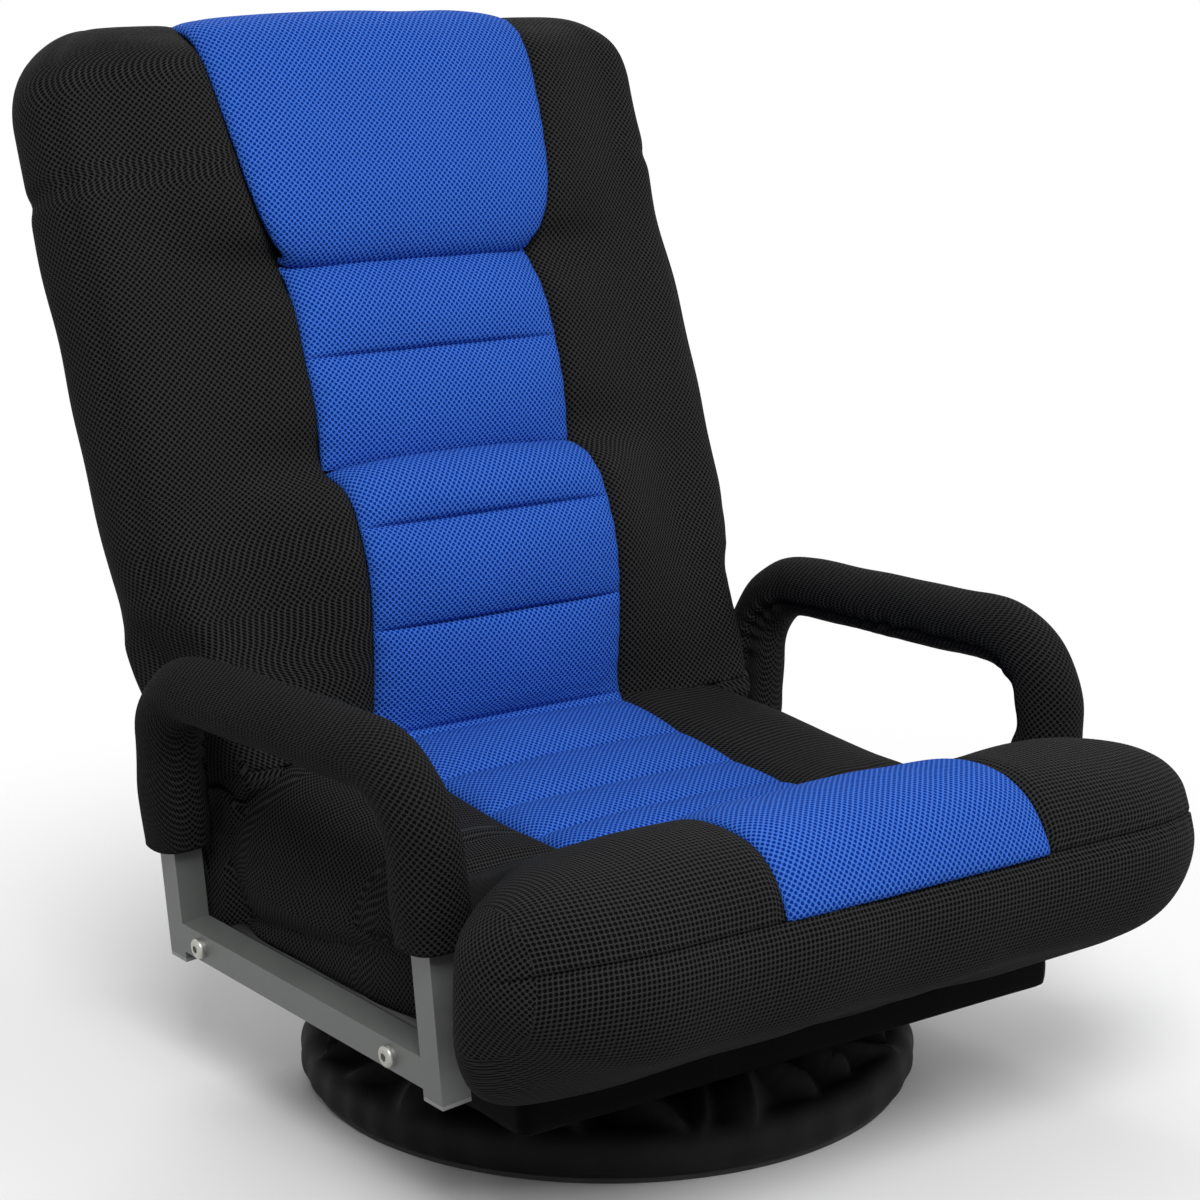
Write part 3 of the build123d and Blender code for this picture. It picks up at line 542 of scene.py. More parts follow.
def join(piece, *others):
    """Makes the others part of the piece."""
    for other in bpy.context.selected_objects:
        other.select_set(False)
    for other in (piece, *others):
        other.select_set(True)
    bpy.context.view_layer.objects.active = piece
    bpy.ops.object.join()


seat_low = 0.1165
seat_half = 0.2255


def seat_section(y):
    """Points round the cushion at a place along the chair, started in the middle of its top."""
    top = seat_top(y)
    front_pinch = 0.0060 * np.exp(-(((y + 0.130) / 0.050) ** 2))
    rear_pinch = 0.0085 * np.exp(-(((y - 0.130) / 0.035) ** 2))
    wide = seat_half - (front_pinch + rear_pinch)
    drop = 0.0050 * float(ease(y, 0.02, 0.095)) + 0.0046 * float(1 - ease(y, -0.105, -0.070))
    seam = through([-0.12, -0.085, -0.005, 0.09, 0.13], [0.149, 0.147, 0.134, 0.123, 0.121], np.array(y))
    under_panel = [
        (0.0, top - 0.0085), (0.060, top - 0.0085), (pad_half - 0.012, top - 0.0080),
        (pad_half - 0.0015, top - 0.0050), (pad_half + 0.0015, top - 0.0030),
    ]
    crown = [
        (pad_half + 0.008, top + 0.0010 - 0.3 * drop), (0.125, top + 0.0040 - 0.8 * drop),
        (0.155, top + 0.0048 - drop), (0.180, top + 0.0020 - drop), (wide - 0.0220, top - 0.0070 - drop),
        (wide - 0.0075, top - 0.0220 - 0.5 * drop), (wide, top - 0.0420),
    ]
    welt = [
        (wide + 0.0005, seam + 0.0130), (wide - 0.0020, seam + 0.0040), (wide - 0.0060, seam),
        (wide - 0.0028, seam - 0.0050),
    ]
    bottom = [
        (wide - 0.0008, seat_low + 0.0020), (wide - 0.0040, seat_low - 0.0060),
        (wide - 0.0150, seat_low - 0.0020), (0.190, seat_low), (0.100, seat_low), (0.0, seat_low),
    ]
    return both_sides(spread(under_panel + crown + welt + bottom, 96))


seat_y = np.linspace(-0.1075, 0.1290, 58)
seat_rows = np.array([seat_section(y) for y in seat_y])
seat_points = on_seat(seat_rows[:, :, 0], seat_y[:, None], seat_rows[:, :, 1])
from_middle = np.abs(seat_rows[:, :, 0])
by_hinge = ease(from_middle, 0.165, 0.182) * ease(seat_y, 0.06, 0.129)[:, None]
seat_points[:, :, 1] -= 0.0110 * by_hinge
soft = ease(from_middle, 0.10, 0.16)
seat_points[:, :, 2] += 0.0012 * soft * ripple(seat_points, 0.09, 11)
seat_points[:, :, 0] += 0.0011 * soft * ripple(seat_points, 0.06, 12)
ends = np.concatenate([seat_points[:1], seat_points, seat_points[-1:]])
for row in (0, -1):
    ends[row, :, 0] = 0.0
    ends[row, :, 1] = seat_y[row]
    ends[row, :, 2] = ends[row, :, 2].mean()
seat_cushion = close_up(cloth_mesh("seat_cushion_cover", ends))

hinge = (0.138, 0.150)
pad_inner = 0.1812
cheek_outer = 0.2245
cheek_round = 0.0465
cheek_middle = (0.138, 0.135)
arc = np.radians(np.arange(118, -25, -11))
cheek_line = [(hinge[0] + cheek_round * math.cos(a), hinge[1] + cheek_round * math.sin(a)) for a in arc]
cheek_line = cheek_line + [(0.1975, 0.1240), (0.2030, 0.1090), (0.1960, 0.0960), (0.1780, 0.0905)]
cheek_line = cheek_line + [(0.1500, 0.0900), (0.1150, 0.0910), (0.0930, 0.1020), (0.0880, 0.1500)]
cheek_line = cheek_line + [(0.0950, 0.1850)]
cheeks = []
for sign in (-1, 1):
    rows = side_pad(cheek_line, cheek_middle, pad_inner, cheek_outer, on_seat)
    by_sleeve = ease(rows[:, :, 2], 0.148, 0.160) * ease(rows[:, :, 0], 0.205, 0.217)
    tuck = (1 - ease(rows[:, :, 1], 0.090, 0.122)) * ease(rows[:, :, 0], 0.200, 0.217)
    rows[:, :, 0] = sign * (rows[:, :, 0] - 0.0075 * by_sleeve - 0.0110 * tuck)
    cheeks.append(flat_cloth(close_up(cloth_mesh("seat_cheek", rows))))
join(seat_cushion, *cheeks)
padded_piece(seat_cushion, black_mesh, "seat", "seat_cushion")


# Seat panel: blue air mesh quilted into soft channels across the middle of the seat,
# sewn into the black cover along both edges.
def quilt_rows(seams, count):
    """Places along a quilted panel, close together at its seams.

    With each place come the puffed height, from 0 to 1, and how near it is to a line of stitches.
    """
    run = []
    for first, last in zip(seams[:-1], seams[1:]):
        q = 0.5 - 0.5 * np.cos(np.linspace(0, np.pi, count))
        q = q[:-1] if last != seams[-1] else q
        run.append(first + (last - first) * q)
    run = np.concatenate(run)
    channel = np.clip(np.searchsorted(seams, run) - 1, 0, len(seams) - 2)
    q = (run - np.array(seams)[channel]) / np.diff(seams)[channel]
    puff = np.clip(1 - np.abs(2 * q - 1) ** 2.2, 0, 1) ** 0.62
    stitch_wide = 0.0013
    stitch = np.zeros(len(run))
    for seam in seams[1:-1]:
        stitch = stitch + np.exp(-(((run - seam) / stitch_wide) ** 2))
    return run, puff, stitch


share = np.linspace(-1, 1, 75)
panel_edge = (1 - np.abs(share) ** 7) ** 0.6
edge_sunk = 0.0030
panel_thick = 0.0070


def panel_face(body, flat, bow):
    """How far a panel stands up: domed across its width, and falling into the seam at both edges."""
    dome = flat + (1 - flat) * np.cos(share * bow)
    return (body[:, None] * dome + edge_sunk) * panel_edge - edge_sunk


def sewn_panel(name, place, line, half, stand, thick):
    """A closed panel along a line in the side view, with its face above the line and its back below."""
    way = np.gradient(line, axis=0)
    out = np.stack([-way[:, 1], way[:, 0]], 1) / np.linalg.norm(way, axis=1)[:, None]
    lift = np.concatenate([stand, -thick * np.ones(stand.shape)], 1)
    x = half[:, None] * np.concatenate([share, share[::-1]])
    points = place(x, line[:, :1] + out[:, :1] * lift, line[:, 1:] + out[:, 1:] * lift)
    return close_up(cloth_mesh(name, points, len(share) // 2, level=True))


blue_mesh = air_mesh("blue_air_mesh", (0.043, 0.148, 0.60), (0.0004, 0.024, 0.235), (0.0042, 0.0021, 0.00104))
seat_run, puff, stitch = quilt_rows([-0.1055, -0.062, -0.010, 0.050, 0.116], 36)
stand = panel_face(0.0088 * puff ** 1.3 - 0.0008 * stitch, 0.55, 1.2)
stand += 0.0006 * ripple(on_seat(pad_half * share, seat_run[:, None], 0.0), 0.05, 21) * panel_edge
seat_line = np.stack([seat_run, seat_top(seat_run) - 0.0010], 1)
thick = panel_thick - 0.0035 * ease(seat_run, 0.07, 0.11)[:, None]
seat_panel = sewn_panel("seat_panel", on_seat, seat_line, np.full(len(seat_run), pad_half), stand, thick)
padded_piece(seat_panel, blue_mesh, "seat", "seat_pad")


# Front roll: a thick bolster of foam in black air mesh. One seam runs along its front and round both ends,
# and the slope behind it comes down to a sharp valley against the seat.
seam_column = 110


def roll_section(x):
    """Points round the roll at a place across the chair, from the valley, with the seam at a fixed place."""
    x = abs(x)
    outer = ease(np.array(x), 0.190, 0.222)
    slope = [(-0.1045, 0.1955), (-0.1270, 0.2030), (-0.1560, 0.2165), (-0.1820, 0.2300), (-0.2080, 0.2420)]
    tight = [(-0.1835, 0.1900), (-0.1835, 0.2080), (-0.1870, 0.2230), (-0.1960, 0.2350), (-0.2090, 0.2430)]
    rear = np.array(slope) * (1 - outer) + np.array(tight) * outer
    crown = [(-0.2300, 0.2492), (-0.2540, 0.2510), (-0.2760, 0.2470), (-0.2930, 0.2370), (-0.3045, 0.2230)]
    front = [(-0.3105, 0.2120), (-0.3120, 0.2090), (-0.3135, 0.2050)]
    below = [(-0.3165, 0.1860), (-0.3135, 0.1640), (-0.3030, 0.1440), (-0.2800, 0.1280), (-0.2520, 0.1130)]
    under = [(-0.2300, 0.1010), (-0.2120, 0.0945), (-0.1960, 0.0960)]
    back_low = [(-0.1850, 0.1080), (-0.1840, 0.1300), (-0.1838, 0.1600)]
    inner_low = [(-0.1850, 0.1120), (-0.1400, 0.1180), (-0.1065, 0.1300)]
    heel = np.array(inner_low) * (1 - outer) + np.array(back_low) * outer
    top = np.concatenate([rear, crown, front[:2]])
    bottom = np.concatenate([front[1:], below, under, heel, rear[:1]])
    grow = 1.6
    above = spread(top[::-1], seam_column + 1, grow)[::-1]
    under_seam = spread(bottom, 132, grow)
    return np.concatenate([above[:-1], under_seam[:-1]])


def roll_end(past, power):
    """How much of the section is left towards a rounded end."""
    return np.sqrt(np.clip(1 - past ** power, 0, 1))


roll_straight = 0.17
roll_round = 0.1045
across = roll_straight + roll_round * np.sin(np.linspace(0.02, np.pi / 2, 50))
across = np.concatenate([np.linspace(0, roll_straight, 56), across])
across = np.concatenate([-across[:0:-1], across])
from_middle = np.abs(across)[:, None]
roll = np.array([roll_section(x) for x in across])
roll_y = roll[:, :, 0]
roll_z = roll[:, :, 1]
end_start = 0.172
end_length = 0.1025
crown_start = 0.130
crown_length = 0.1445
past = np.clip((from_middle - end_start) / end_length, 0, 1)
crown_past = np.clip((from_middle - crown_start) / crown_length, 0, 1)
low_power = 2.2 + 2.4 * ease(roll_y, -0.30, -0.20)
middle_y = -0.2410
middle_z = 0.2070 - 0.020 * past
side_y = roll_end(past, 2.0)
side_z = np.where(roll_z > middle_z, roll_end(crown_past, 2.6), roll_end(past, low_power))
roll_points = on_seat(
    across[:, None],
    middle_y + (roll_y - middle_y) * side_y,
    middle_z + (roll_z - middle_z) * side_z,
)

# The seam is a groove that gathers the cloth beside it, and the cover is sunk under the blue band.
step = np.linalg.norm(np.diff(roll_points, axis=1, prepend=roll_points[:, -1:]), axis=2)
from_seam = np.cumsum(step, 1)
from_seam = from_seam - from_seam[:, seam_column:seam_column + 1]
outward = roll_points - on_seat(across * 0.93, -0.235, 0.175)[:, None]
outward[:, :, 0] *= ease(from_middle, 0.18, 0.27)
outward /= np.linalg.norm(outward, axis=2)[:, :, None]
stitch_groove = 0.0020 * np.exp(-((from_seam / 0.0011) ** 2))
soft_groove = 0.0024 * np.exp(-((from_seam / 0.014) ** 2))
groove = (stitch_groove + soft_groove) * (1 - ease(past, 0.90, 0.99))
off_pad = from_middle - pad_half
above = from_seam < 0
sink = 0.0085 * (1 - ease(off_pad, -0.006, 0.001)) * above
edge = 0.0030 * np.exp(-((off_pad / 0.005) ** 2)) * above
pucker = 0.0007 * np.sin(across * 420)[:, None] * np.exp(-((from_seam / 0.009) ** 2))
swell = 0.0022 * ripple(roll_points, 0.11, 31) - groove - sink - edge + pucker
roll_points += outward * swell[:, :, None]
front_roll = cloth_mesh("front_roll_cover", roll_points, seam_column, bias=math.pi / 4)

# The rows of points close up at both tips, so the knit is laid over them as a flat disc.
tip_disc = 0.048
corners = np.empty(len(front_roll.data.loops), np.int32)
front_roll.data.loops.foreach_get("vertex_index", corners)
knit = np.empty((len(corners), 2), np.float32)
front_roll.data.uv_layers["cloth"].data.foreach_get("uv", knit.ravel())
steps = np.linalg.norm(np.diff(roll_points, axis=0), axis=2)
still = np.zeros((1, roll_points.shape[1]))
from_first = np.cumsum(np.concatenate([still, steps]), 0)
from_last = np.cumsum(np.concatenate([still, steps[::-1]]), 0)[::-1]
tip_run = np.minimum(from_first, from_last)
off_tip = roll_points - np.where(across[:, None, None] < 0, roll_points[:1], roll_points[-1:])
way = np.angle(off_tip[:, :, 1] + 1j * off_tip[:, :, 2])
disc = np.stack([tip_run * np.cos(way), tip_run * np.sin(way)], 2).reshape(-1, 2)
at_tip = (tip_run.ravel()[corners].reshape(-1, 4) < tip_disc).all(1).repeat(4)
knit[at_tip] = disc[corners[at_tip]]
front_roll.data.uv_layers["cloth"].data.foreach_set("uv", knit.ravel())
close_up(front_roll)
padded_piece(front_roll, black_mesh, "seat", "front_bolster")


# Blue band on the front roll: the same blue air mesh carries the seat panel on from the valley,
# over the roll to the front seam. It is one plain channel of foam, sewn in along both edges.
band_rows = 96
band_line = spread(
    [
        (-0.3113, 0.2080), (-0.3105, 0.2120), (-0.3045, 0.2230), (-0.2930, 0.2370), (-0.2760, 0.2470),
        (-0.2540, 0.2510), (-0.2300, 0.2492), (-0.2080, 0.2420), (-0.1820, 0.2300), (-0.1560, 0.2165),
        (-0.1270, 0.2030), (-0.1120, 0.1970), (-0.1045, 0.1940),
    ],
    band_rows,
)
stand = panel_face(0.0040 * (1 - np.abs(np.linspace(-1, 1, band_rows)) ** 6) ** 0.6, 0.6, 1.3)
stand += 0.0008 * ripple(on_seat(pad_half * share, band_line[:, :1], band_line[:, 1:]), 0.07, 41) * panel_edge
band_half = np.full(band_rows, pad_half)
roll_band = sewn_panel("front_roll_band", on_seat, band_line, band_half, stand, panel_thick)
padded_piece(roll_band, blue_mesh, "seat", "bolster_pad")


# Armrests: a loop of square tube welded to a straight rail, sprayed satin grey, with plastic caps in the
# leg ends. Each rail is held to the seat frame by two zinc pan-head bolts through plastic spacers.
grey_steel = sprayed_steel("grey_sprayed_steel", (0.150, 0.158, 0.152), (0.205, 0.212, 0.205), 0.36)
dress(grey_steel, "arm_loop_left", "arm_loop_right", "side_rail_left", "side_rail_right")
bolt_zinc = plated_steel("bolt_zinc", (0.50, 0.50, 0.46), 0.24)
dress(bolt_zinc, "arm_bolts", "arm_nuts")

cap_plastic, shader, start = new_finish("cap_plastic")
place = start.node("TexCoord", {}, {}, "Object")
cloud = place.noise(90, 4)
feed(
    shader,
    Base_Color=cloud.colours((0.27, 0.275, 0.268), (0.36, 0.365, 0.355)),
    Roughness=cloud * 0.15 + 0.5,
    Normal=place.noise(1600, 2).bump(0.0001, 0.5),
)
dress(cap_plastic, "arm_end_caps", "arm_spacers")


# Armrest sleeves: black air mesh sewn into a tube round foam, with the long seam turned to the inner
# underside, where it puckers, and a turned hem at each end.
sleeve_mesh = air_mesh("sleeve_air_mesh", (0.0212, 0.0212, 0.0213), black_pit, black_knit)
arm_lean = math.radians(4.77)
rail_x = 0.2358
rail_z = 0.1011
bend_round = 0.052
sleeve_length = 0.62
sleeve_rows = 176
sleeve_columns = 76


def on_arm(sign, across, y, up):
    """A point given across the leaning arm, along the chair, and up the arm from its rail."""
    x = sign * (rail_x + across * math.cos(arm_lean) + up * math.sin(arm_lean))
    z = rail_z - across * math.sin(arm_lean) + up * math.cos(arm_lean)
    return np.stack(np.broadcast_arrays(x, y, z), 2)


# The middle line runs up the front leg, round two bends and down the rear leg, with its corners blurred.
arm_line = [(-0.161, 0.0785), (-0.161, 0.134)]
for bend_y, bend_z, first, last in ((-0.109, 0.1325, 180, 88), (0.094, 0.1250, 88, 0)):
    for angle in np.radians(np.linspace(first, last, 9)):
        arm_line.append((bend_y + bend_round * math.cos(angle), bend_z + bend_round * math.sin(angle)))
arm_line = np.array(arm_line + [(0.146, 0.110), (0.146, 0.0465)])
run = along_line(arm_line)
fine = np.linspace(0, run[-1], 900)
arm_line = np.stack([np.interp(fine, run, column) for column in arm_line.T], 1)
blur_half = 30
blur = np.ones(2 * blur_half + 1) / (2 * blur_half + 1)
before = np.repeat(arm_line[:1], blur_half, 0)
after = np.repeat(arm_line[-1:], blur_half, 0)
longer = np.concatenate([before, arm_line, after])
arm_line = np.stack([np.convolve(column, blur, "valid") for column in longer.T], 1)
arm_line = spread(arm_line[::30], sleeve_rows)
arm_way = np.gradient(arm_line, axis=0)
arm_way /= np.linalg.norm(arm_way, axis=1)[:, None]

# The sleeve is plump and round, squarer at its hems, and drawn in along the seam with puckers beside it.
arm_run = np.linspace(0, 1, sleeve_rows)
around = np.linspace(0, 2 * np.pi, sleeve_columns, endpoint=False)
hem = np.minimum(arm_run, 1 - arm_run) * sleeve_length
plump = 0.0218 + 0.0012 * ease(hem, 0.0, 0.03) - 0.0010 * ease(hem, 0.02, 0.10)
seam_turn = np.radians(215)
off_seam = np.angle(np.exp(1j * (around - seam_turn)))
wave = np.sin(arm_run * 150 + 4 * np.sin(arm_run * 23)) * (0.6 + 0.4 * np.sin(arm_run * 17))
square = 0.035 * np.cos(4 * (around - np.pi / 4)) * ease(0.06 - hem, 0.0, 0.05)[:, None]
size = plump[:, None] * (1 + square) - 0.0036 * np.exp(-((off_seam / 0.13) ** 2))
size = size + 0.0017 * wave[:, None] * np.exp(-((off_seam / 0.42) ** 2))
out = np.sin(around) * size
sleeve_y = arm_line[:, :1] - arm_way[:, 1:] * out
sleeve_up = arm_line[:, 1:] + arm_way[:, :1] * out
for side, sign, seed in (("left", 1, 50), ("right", -1, 60)):
    core = on_arm(sign, np.zeros(sleeve_columns), arm_line[:, :1], arm_line[:, 1:])
    points = on_arm(sign, np.cos(around) * size, sleeve_y, sleeve_up)
    swell = 0.030 * ripple(points, 0.045, seed) * ease(hem, 0.004, 0.03)[:, None]
    points = points + (points - core) * swell[:, :, None]
    caps = []
    for row in (0, -1):
        lip = core[row] + (points[row] - core[row]) * 0.93
        lip[:, 2] -= 0.0016
        neck = core[row] + (points[row] - core[row]) * 0.66
        neck[:, 2] += 0.0040
        caps.append([lip, neck])
    points = np.concatenate([caps[0][::-1], points, caps[1]])
    sleeve = close_up(cloth_mesh("arm_sleeve_cover_" + side, points, 40))
    padded_piece(sleeve, sleeve_mesh, "seat", "arm_sleeve_" + side)


# Recliner: pressed cheek plates, riveted pins, and a notched wheel with its sprung pawl on each side.
# The plates are oiled bare steel, hidden in the cover beside the hinge.
hinge_steel = plated_steel("oiled_steel", (0.42, 0.42, 0.41), 0.30)
for side in ("left", "right"):
    dress(hinge_steel, "outer_cheek_" + side, "inner_cheek_" + side, "notched_wheel_" + side, "pawl_" + side)
    dress(zinc, "hinge_pin_" + side, "pawl_pin_" + side, "pawl_spring_" + side)


# Back cushion: foam round a bent tube frame, in a sewn cover of black air mesh. It is narrow between the
# armrests and flares above them. Its lower end is a roll round the hinge, with a flap on each side that
# turns round the cheek pad of the seat.
dress(black_steel, "back_frame_tube", "back_cross_tubes")
lean = math.radians(22)


def on_back(x, up, forward):
    """A point given across the back, up it from the hinge, and forward of its plane."""
    x, up, forward = np.broadcast_arrays(x, up, forward)
    y = hinge[0] + up * math.sin(lean) - forward * math.cos(lean)
    return np.stack([x, y, hinge[1] + up * math.cos(lean) + forward * math.sin(lean)], -1)


def seam_depth(up):
    """How far forward the seam beside the blue panels lies."""
    return through(
        [0.030, 0.060, 0.088, 0.122, 0.143, 0.165, 0.191, 0.206, 0.222, 0.2385, 0.246,
         0.273, 0.314, 0.353, 0.374, 0.385, 0.401, 0.415, 0.450, 0.490, 0.527, 0.550],
        [0.036, 0.042, 0.054, 0.0675, 0.0745, 0.079, 0.079, 0.0775, 0.070, 0.050, 0.0485,
         0.0570, 0.0600, 0.0590, 0.0500, 0.0500, 0.0610, 0.0650, 0.0675, 0.0665, 0.0625, 0.0530],
        up,
    )


def panel_width(up):
    """Half the width of the blue panels up the back."""
    return through(
        [0.0, 0.24, 0.36, 0.374, 0.383, 0.392, 0.407, 0.431, 0.46, 0.50, 0.550, 0.60],
        [0.102, 0.102, 0.1020, 0.1010, 0.1020, 0.1085, 0.1155, 0.1220, 0.1262, 0.1306, 0.134, 0.134],
        up,
    )


back_top = 0.565
back_corner = 0.060
back_roll = 0.040
shoulder = back_top - back_corner
hub = 0.0615
hub_end = 0.048
hub_half = 0.1805


def back_section(up):
    """Points round the back at a place up it from the hinge, started in the middle of its front."""
    at = np.array(up)
    wide = hub_half
    rear_wide = hub_half
    if up > hub_end:
        wide = through(
            [hub_end, 0.070, 0.100, 0.120, 0.132, 0.140, 0.147,
             0.154, 0.163, 0.180, 0.200, 0.230, 0.30, 0.60],
            [0.2165, 0.2205, 0.2230, 0.2243, 0.2254, 0.2286, 0.2325,
             0.2366, 0.2425, 0.2455, 0.2480, 0.2495, 0.2500, 0.2495],
            at,
        )
        rear_wide = through(
            [hub_end, 0.085, 0.098, 0.110, 0.125, 0.145, 0.180, 0.30, 0.60],
            [0.2165, 0.2215, 0.2270, 0.2370, 0.2420, 0.2440, 0.2475, 0.2495, 0.2495],
            at,
        )
        notch = 0.0030 * math.exp(-(((up - 0.452) / 0.007) ** 2))
        cut = 0.0
        if up > shoulder:
            cut = back_corner - math.sqrt(max(back_corner ** 2 - (up - shoulder) ** 2, 0))
        wide = wide - notch - cut
        rear_wide = rear_wide - notch - cut

    # The wing's thickness, before the panel's seam draws the cover forward and the hub makes it round.
    bare = 0.0465
    rear = through([0.045, 0.09, 0.30, 0.50, 0.60], [0.0425, 0.0415, 0.0430, 0.0410, 0.0400], at)
    if up < 0.045:
        ball = math.sqrt(max(hub ** 2 - up ** 2, 0))
        blend = ease(at, 0.0, 0.045)
        bare = ball * (1 - blend) + bare * blend
        rear = max(ball, rear) if up > 0 else ball
    panel = panel_width(at)
    deep = seam_depth(at) if up > 0.030 else bare

    # The front, from the middle under the panel, over its seam and across the wing.
    bend = through(
        [0.0, 0.100, 0.125, 0.140, 0.150, 0.163, 0.20, 0.60],
        [0.010, 0.010, 0.011, 0.014, 0.020, 0.040, 0.046, 0.046],
        at,
    )
    reach = wide - min(bend, 0.8 * (wide - panel - 0.012))
    x = np.array([0.0, 0.5 * panel, panel - 0.010, panel - 0.0015, panel + 0.0015, panel + 0.006])
    x = np.concatenate([x, panel + 0.006 + (reach - panel - 0.006) * np.array([0.2, 0.4, 0.6, 0.8, 1.0])])
    front = bare + (deep - bare) * (1 - ease(x, panel + 0.004, panel + 0.085))
    front = front + 0.0035 * np.sin(np.pi * np.clip((x - panel) / (reach + 0.02 - panel), 0, 1))
    front = front - 0.0110 * (1 - ease(x, panel - 0.006, panel + 0.002)) * float(ease(at, -0.045, -0.025))
    front = front - 0.0030 * np.exp(-(((x - panel) / 0.005) ** 2))

    # The wing's outer bend with its welt, then the rear.
    middle = 0.5 * (front[-1] - rear)
    thick = 0.5 * (front[-1] + rear)
    turn = np.radians([66, 50, 40, 30, 15, 0, -18, -42, -66])
    welt = 1 - np.array([0, 0, 0.045, 0, 0, 0, 0, 0, 0]) * float(ease(at, 0.10, 0.14))
    outer = wide + (rear_wide - wide) * ease(-turn, 0.05, 0.60)
    bend_x = reach + (outer - reach) * np.cos(turn) ** 0.85 * welt
    bend_t = middle + thick * np.sin(turn) * welt
    back_x = reach * np.array([0.94, 0.7, 0.4, 0.0])
    back_t = -(rear + 0.002 + 0.003 * (1 - (back_x / reach) ** 2))
    half = np.column_stack([np.concatenate([x, bend_x, back_x]), np.concatenate([front, bend_t, back_t])])
    if up > back_top - back_roll:
        taper = math.sqrt(max(1 - ((up - back_top + back_roll) / back_roll) ** 2, 0))
        centre = middle + 0.004
        half[:, 1] = centre + (half[:, 1] - centre) * taper
    return both_sides(spread(half, 118))


ups = np.concatenate([
    -hub * np.cos(np.linspace(0, np.pi / 2, 18))[:-1],
    np.linspace(0, hub_end - 0.0002, 12),
    np.linspace(hub_end + 0.0002, shoulder, 120)[:-1],
    shoulder + back_corner * np.sin(np.linspace(0, np.pi / 2, 30)),
])
back_rows = np.array([back_section(up) for up in ups])
back_points = on_back(back_rows[:, :, 0], ups[:, None], back_rows[:, :, 1])
edge = ease(np.abs(back_rows[:, :, 0]), 0.13, 0.23)
firm = ease(ups, 0.05, 0.12)[:, None] * (1 - ease(ups, 0.535, 0.56))[:, None]
back_points[:, :, 0] += 0.0016 * edge * firm * ripple(back_points, 0.075, 71)
back_points[:, :, 1] += 0.0022 * edge * firm * ripple(back_points, 0.090, 72)
back_cushion = close_up(cloth_mesh("back_cushion_cover", back_points, level=True))

flap_outer = 0.2130
flap_round = 0.0466
flap_middle = (0.095, 0.0)
arc = np.radians(np.arange(-36, 50, 7))
flap_line = [(flap_round * math.cos(a), flap_round * math.sin(a)) for a in arc]
flap_line = flap_line + [(0.038, 0.0478), (0.054, 0.0478), (0.070, 0.0460), (0.108, 0.0450)]
flap_line = flap_line + [(0.108, -0.0420), (0.062, -0.0420)]
flaps = []
for sign in (-1, 1):
    rows = side_pad(flap_line, flap_middle, pad_inner, flap_outer, on_back)
    rows[:, :, 0] *= sign
    flaps.append(flat_cloth(close_up(cloth_mesh("back_flap", rows))))
join(back_cushion, *flaps)
padded_piece(back_cushion, black_mesh, "back", "back_cushion")


# Blue panels on the back: a lumbar pad in three sewn channels above a flat foot, a flatter pad in two,
# and a full headrest that overhangs it and wraps over the top. Each is sewn in along its edges, and across
# between its channels.
def back_panel(name, node, line, seams, depth, crown, seed):
    """A panel that follows a line up the back, puffed between its seams."""
    stitch_deep = 0.0022
    fine = spread(line, 600)
    length = along_line(fine)
    stops = [0.0, *[np.interp(up, fine[:, 0], length) for up in seams], length[-1]]
    run, puff, stitch = quilt_rows(stops, 44)
    line = np.stack([np.interp(run, length, column) for column in fine.T], 1)
    drawn = 0.15 + 0.85 * ease(line[:, 0], 0.050, 0.060)
    bow = 1 - np.abs(2 * run / run[-1] - 1) ** 4
    body = depth * puff * drawn - stitch_deep * stitch + crown * bow
    half = panel_width(line[:, 0])
    stand = panel_face(body, 0.5, 1.35)
    tug = np.exp(-(((1 - np.abs(share)) / 0.10) ** 2)) * np.sin(run[:, None] * 330)
    points = on_back(half[:, None] * share, line[:, :1], line[:, 1:])
    stand += 0.0007 * ripple(points, 0.06, seed) * panel_edge + 0.0004 * tug
    piece = sewn_panel(name, on_back, line, half, stand, panel_thick)
    padded_piece(piece, blue_mesh, "back", node)


back_panel(
    "lumbar_panel",
    "lumbar_pad",
    [(-0.0310, 0.0541), (-0.0100, 0.0617), (0.0150, 0.0607), (0.0350, 0.0520), (0.0480, 0.0435),
     (0.0600, 0.0415), (0.0720, 0.0460), (0.0880, 0.0540), (0.1220, 0.0685), (0.1430, 0.0755),
     (0.1650, 0.0800), (0.1910, 0.0800), (0.2060, 0.0785), (0.2210, 0.0715), (0.2330, 0.0590),
     (0.2390, 0.0480)],
    seams=[0.055, 0.122, 0.191],
    depth=0.0092,
    crown=0.0006,
    seed=81,
)
back_panel(
    "upper_back_panel",
    "upper_back_pad",
    [(0.2380, 0.0475), (0.2460, 0.0500), (0.2730, 0.0570), (0.3140, 0.0600), (0.3530, 0.0585),
     (0.3720, 0.0530), (0.3835, 0.0475)],
    seams=[0.314],
    depth=0.0088,
    crown=0.0010,
    seed=82,
)
back_panel(
    "headrest_panel",
    "headrest_pad",
    [(0.3825, 0.0440), (0.3800, 0.0520), (0.3840, 0.0590), (0.3960, 0.0655), (0.4150, 0.0690),
     (0.4500, 0.0700), (0.4900, 0.0680), (0.5270, 0.0630), (0.5480, 0.0535), (0.5590, 0.0380),
     (0.5635, 0.0190), (0.5640, 0.0000)],
    seams=[],
    depth=0.0040,
    crown=0.0050,
    seed=83,
)


# Studio: a pale floor that runs out to white, broad soft lamps, and the camera where the photograph was
# taken. None of it belongs to the chair.
bpy.ops.mesh.primitive_plane_add(size=14, location=(0, 0, -0.0004))
floor = bpy.context.object
floor.name = "studio_floor"
floor_white, shader, start = new_finish("studio_floor_white")
place = start.node("TexCoord", {}, {}, "Object")
distance = place.node("VectorMath", {"operation": "LENGTH"}, {0: place}, "Value")


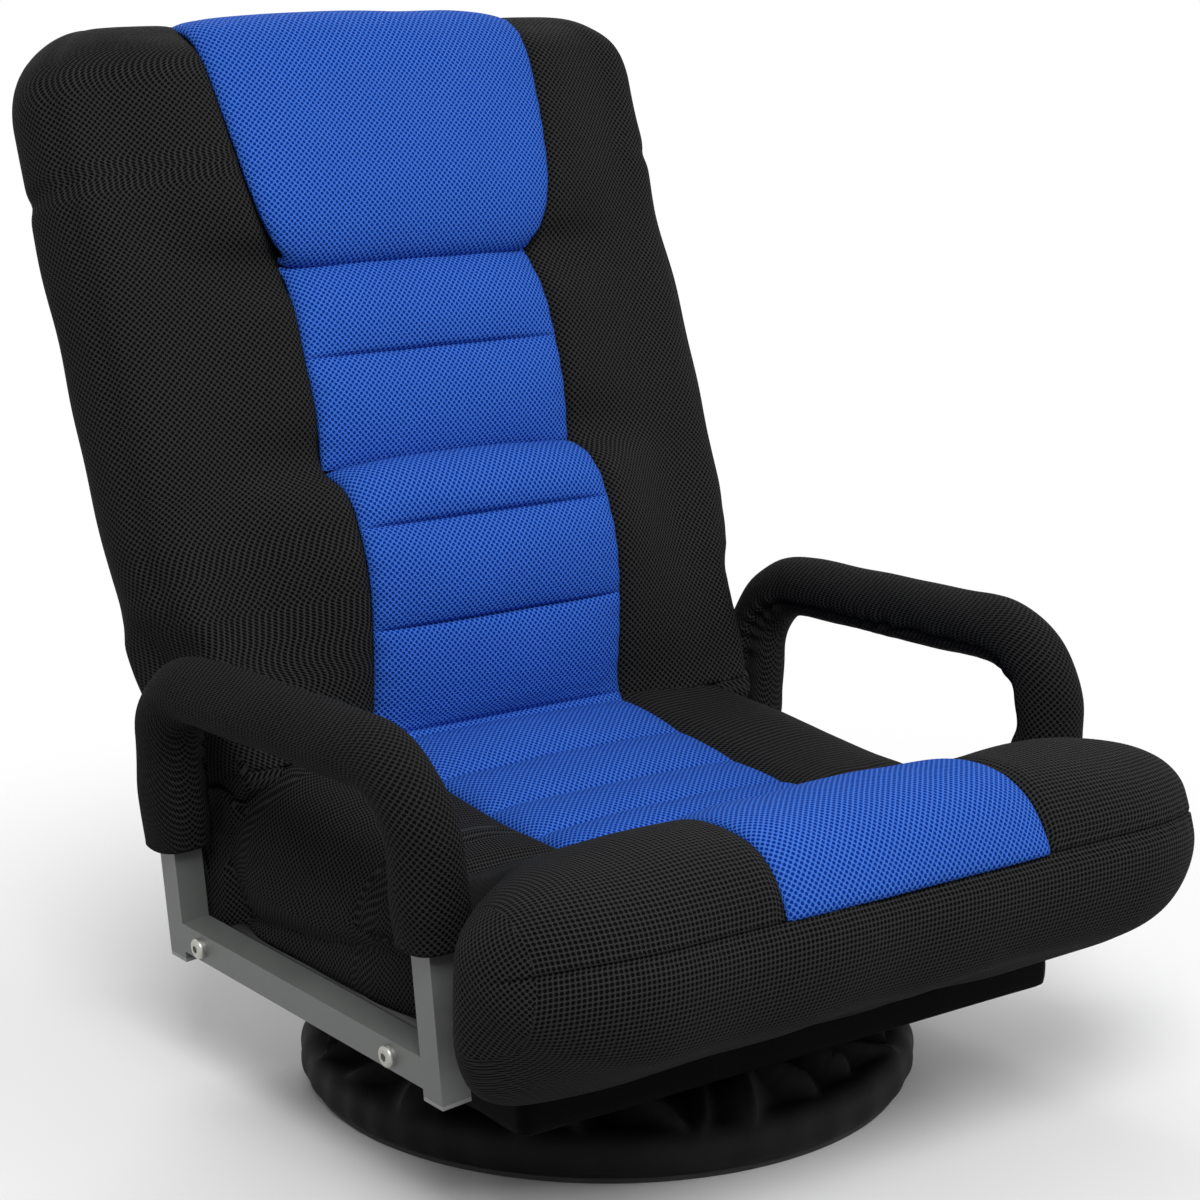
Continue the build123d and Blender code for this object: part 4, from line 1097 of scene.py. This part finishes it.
def seen_ray(start):
    """1 for rays from the camera, also by way of a mirror or through glass."""
    first = start.node("LightPath", {}, {}, "Is Camera Ray")
    second = start.node("LightPath", {}, {}, "Is Glossy Ray")
    third = start.node("LightPath", {}, {}, "Is Transmission Ray")
    return (first + second + third).ramp(0.0, 1.0)


paint = seen_ray(start).colours((0.34, 0.34, 0.34), (0.86, 0.86, 0.86))
feed(shader, Base_Color=paint, Roughness=0.9, Specular_IOR_Level=0.1)
glow = start.node("Emission", {}, {"Color": (1, 1, 1, 1), "Strength": 1.0})
matt = Wire(floor_white.node_tree, shader.outputs[0])
both = start.node("MixShader", {}, {0: distance.ramp(0.30, 0.95) * seen_ray(start), 1: matt, 2: glow})
floor_white.node_tree.links.new(both.socket, floor_white.node_tree.nodes["Material Output"].inputs["Surface"])
floor.data.materials.append(floor_white)

world = bpy.data.worlds.new("studio_world")
bpy.context.scene.world = world
world.use_nodes = True
sky = Wire(world.node_tree)
white = (1, 1, 1, 1)
light = sky.node("Background", {}, {"Color": white, "Strength": 0.36})
backdrop = sky.node("Background", {}, {"Color": white, "Strength": 1.0})
both = sky.node("MixShader", {}, {0: seen_ray(sky), 1: light, 2: backdrop})
world.node_tree.links.new(both.socket, world.node_tree.nodes["World Output"].inputs["Surface"])


def softbox(name, place, aim, size, power):
    lamp = bpy.data.lights.new(name, "AREA")
    lamp.shape = "RECTANGLE"
    lamp.size, lamp.size_y = size
    lamp.energy = power
    holder = bpy.data.objects.new(name, lamp)
    bpy.context.scene.collection.objects.link(holder)
    holder.location = place
    holder.rotation_euler = (Vector(aim) - Vector(place)).to_track_quat("-Z", "Y").to_euler()


softbox("key", (-1.1, -2.0, 2.7), (0, 0, 0.35), (1.5, 1.5), 78)
softbox("fill", (2.2, -1.4, 1.6), (0, 0, 0.3), (1.8, 1.8), 26)
softbox("rim", (0.4, 2.2, 2.2), (0, 0.1, 0.4), (2.0, 1.0), 30)

camera = bpy.data.cameras.new("camera")
camera.lens = 87.41
camera.sensor_width = 36
camera.sensor_fit = "HORIZONTAL"
viewer = bpy.data.objects.new("camera", camera)
viewer.location = (-1.1019, -1.4883, 0.7524)
viewer.rotation_euler = (math.radians(90 - 13.15), 0, math.radians(-36.367))
bpy.context.scene.collection.objects.link(viewer)
bpy.context.scene.camera = viewer
bpy.context.scene.view_settings.view_transform = "Standard"
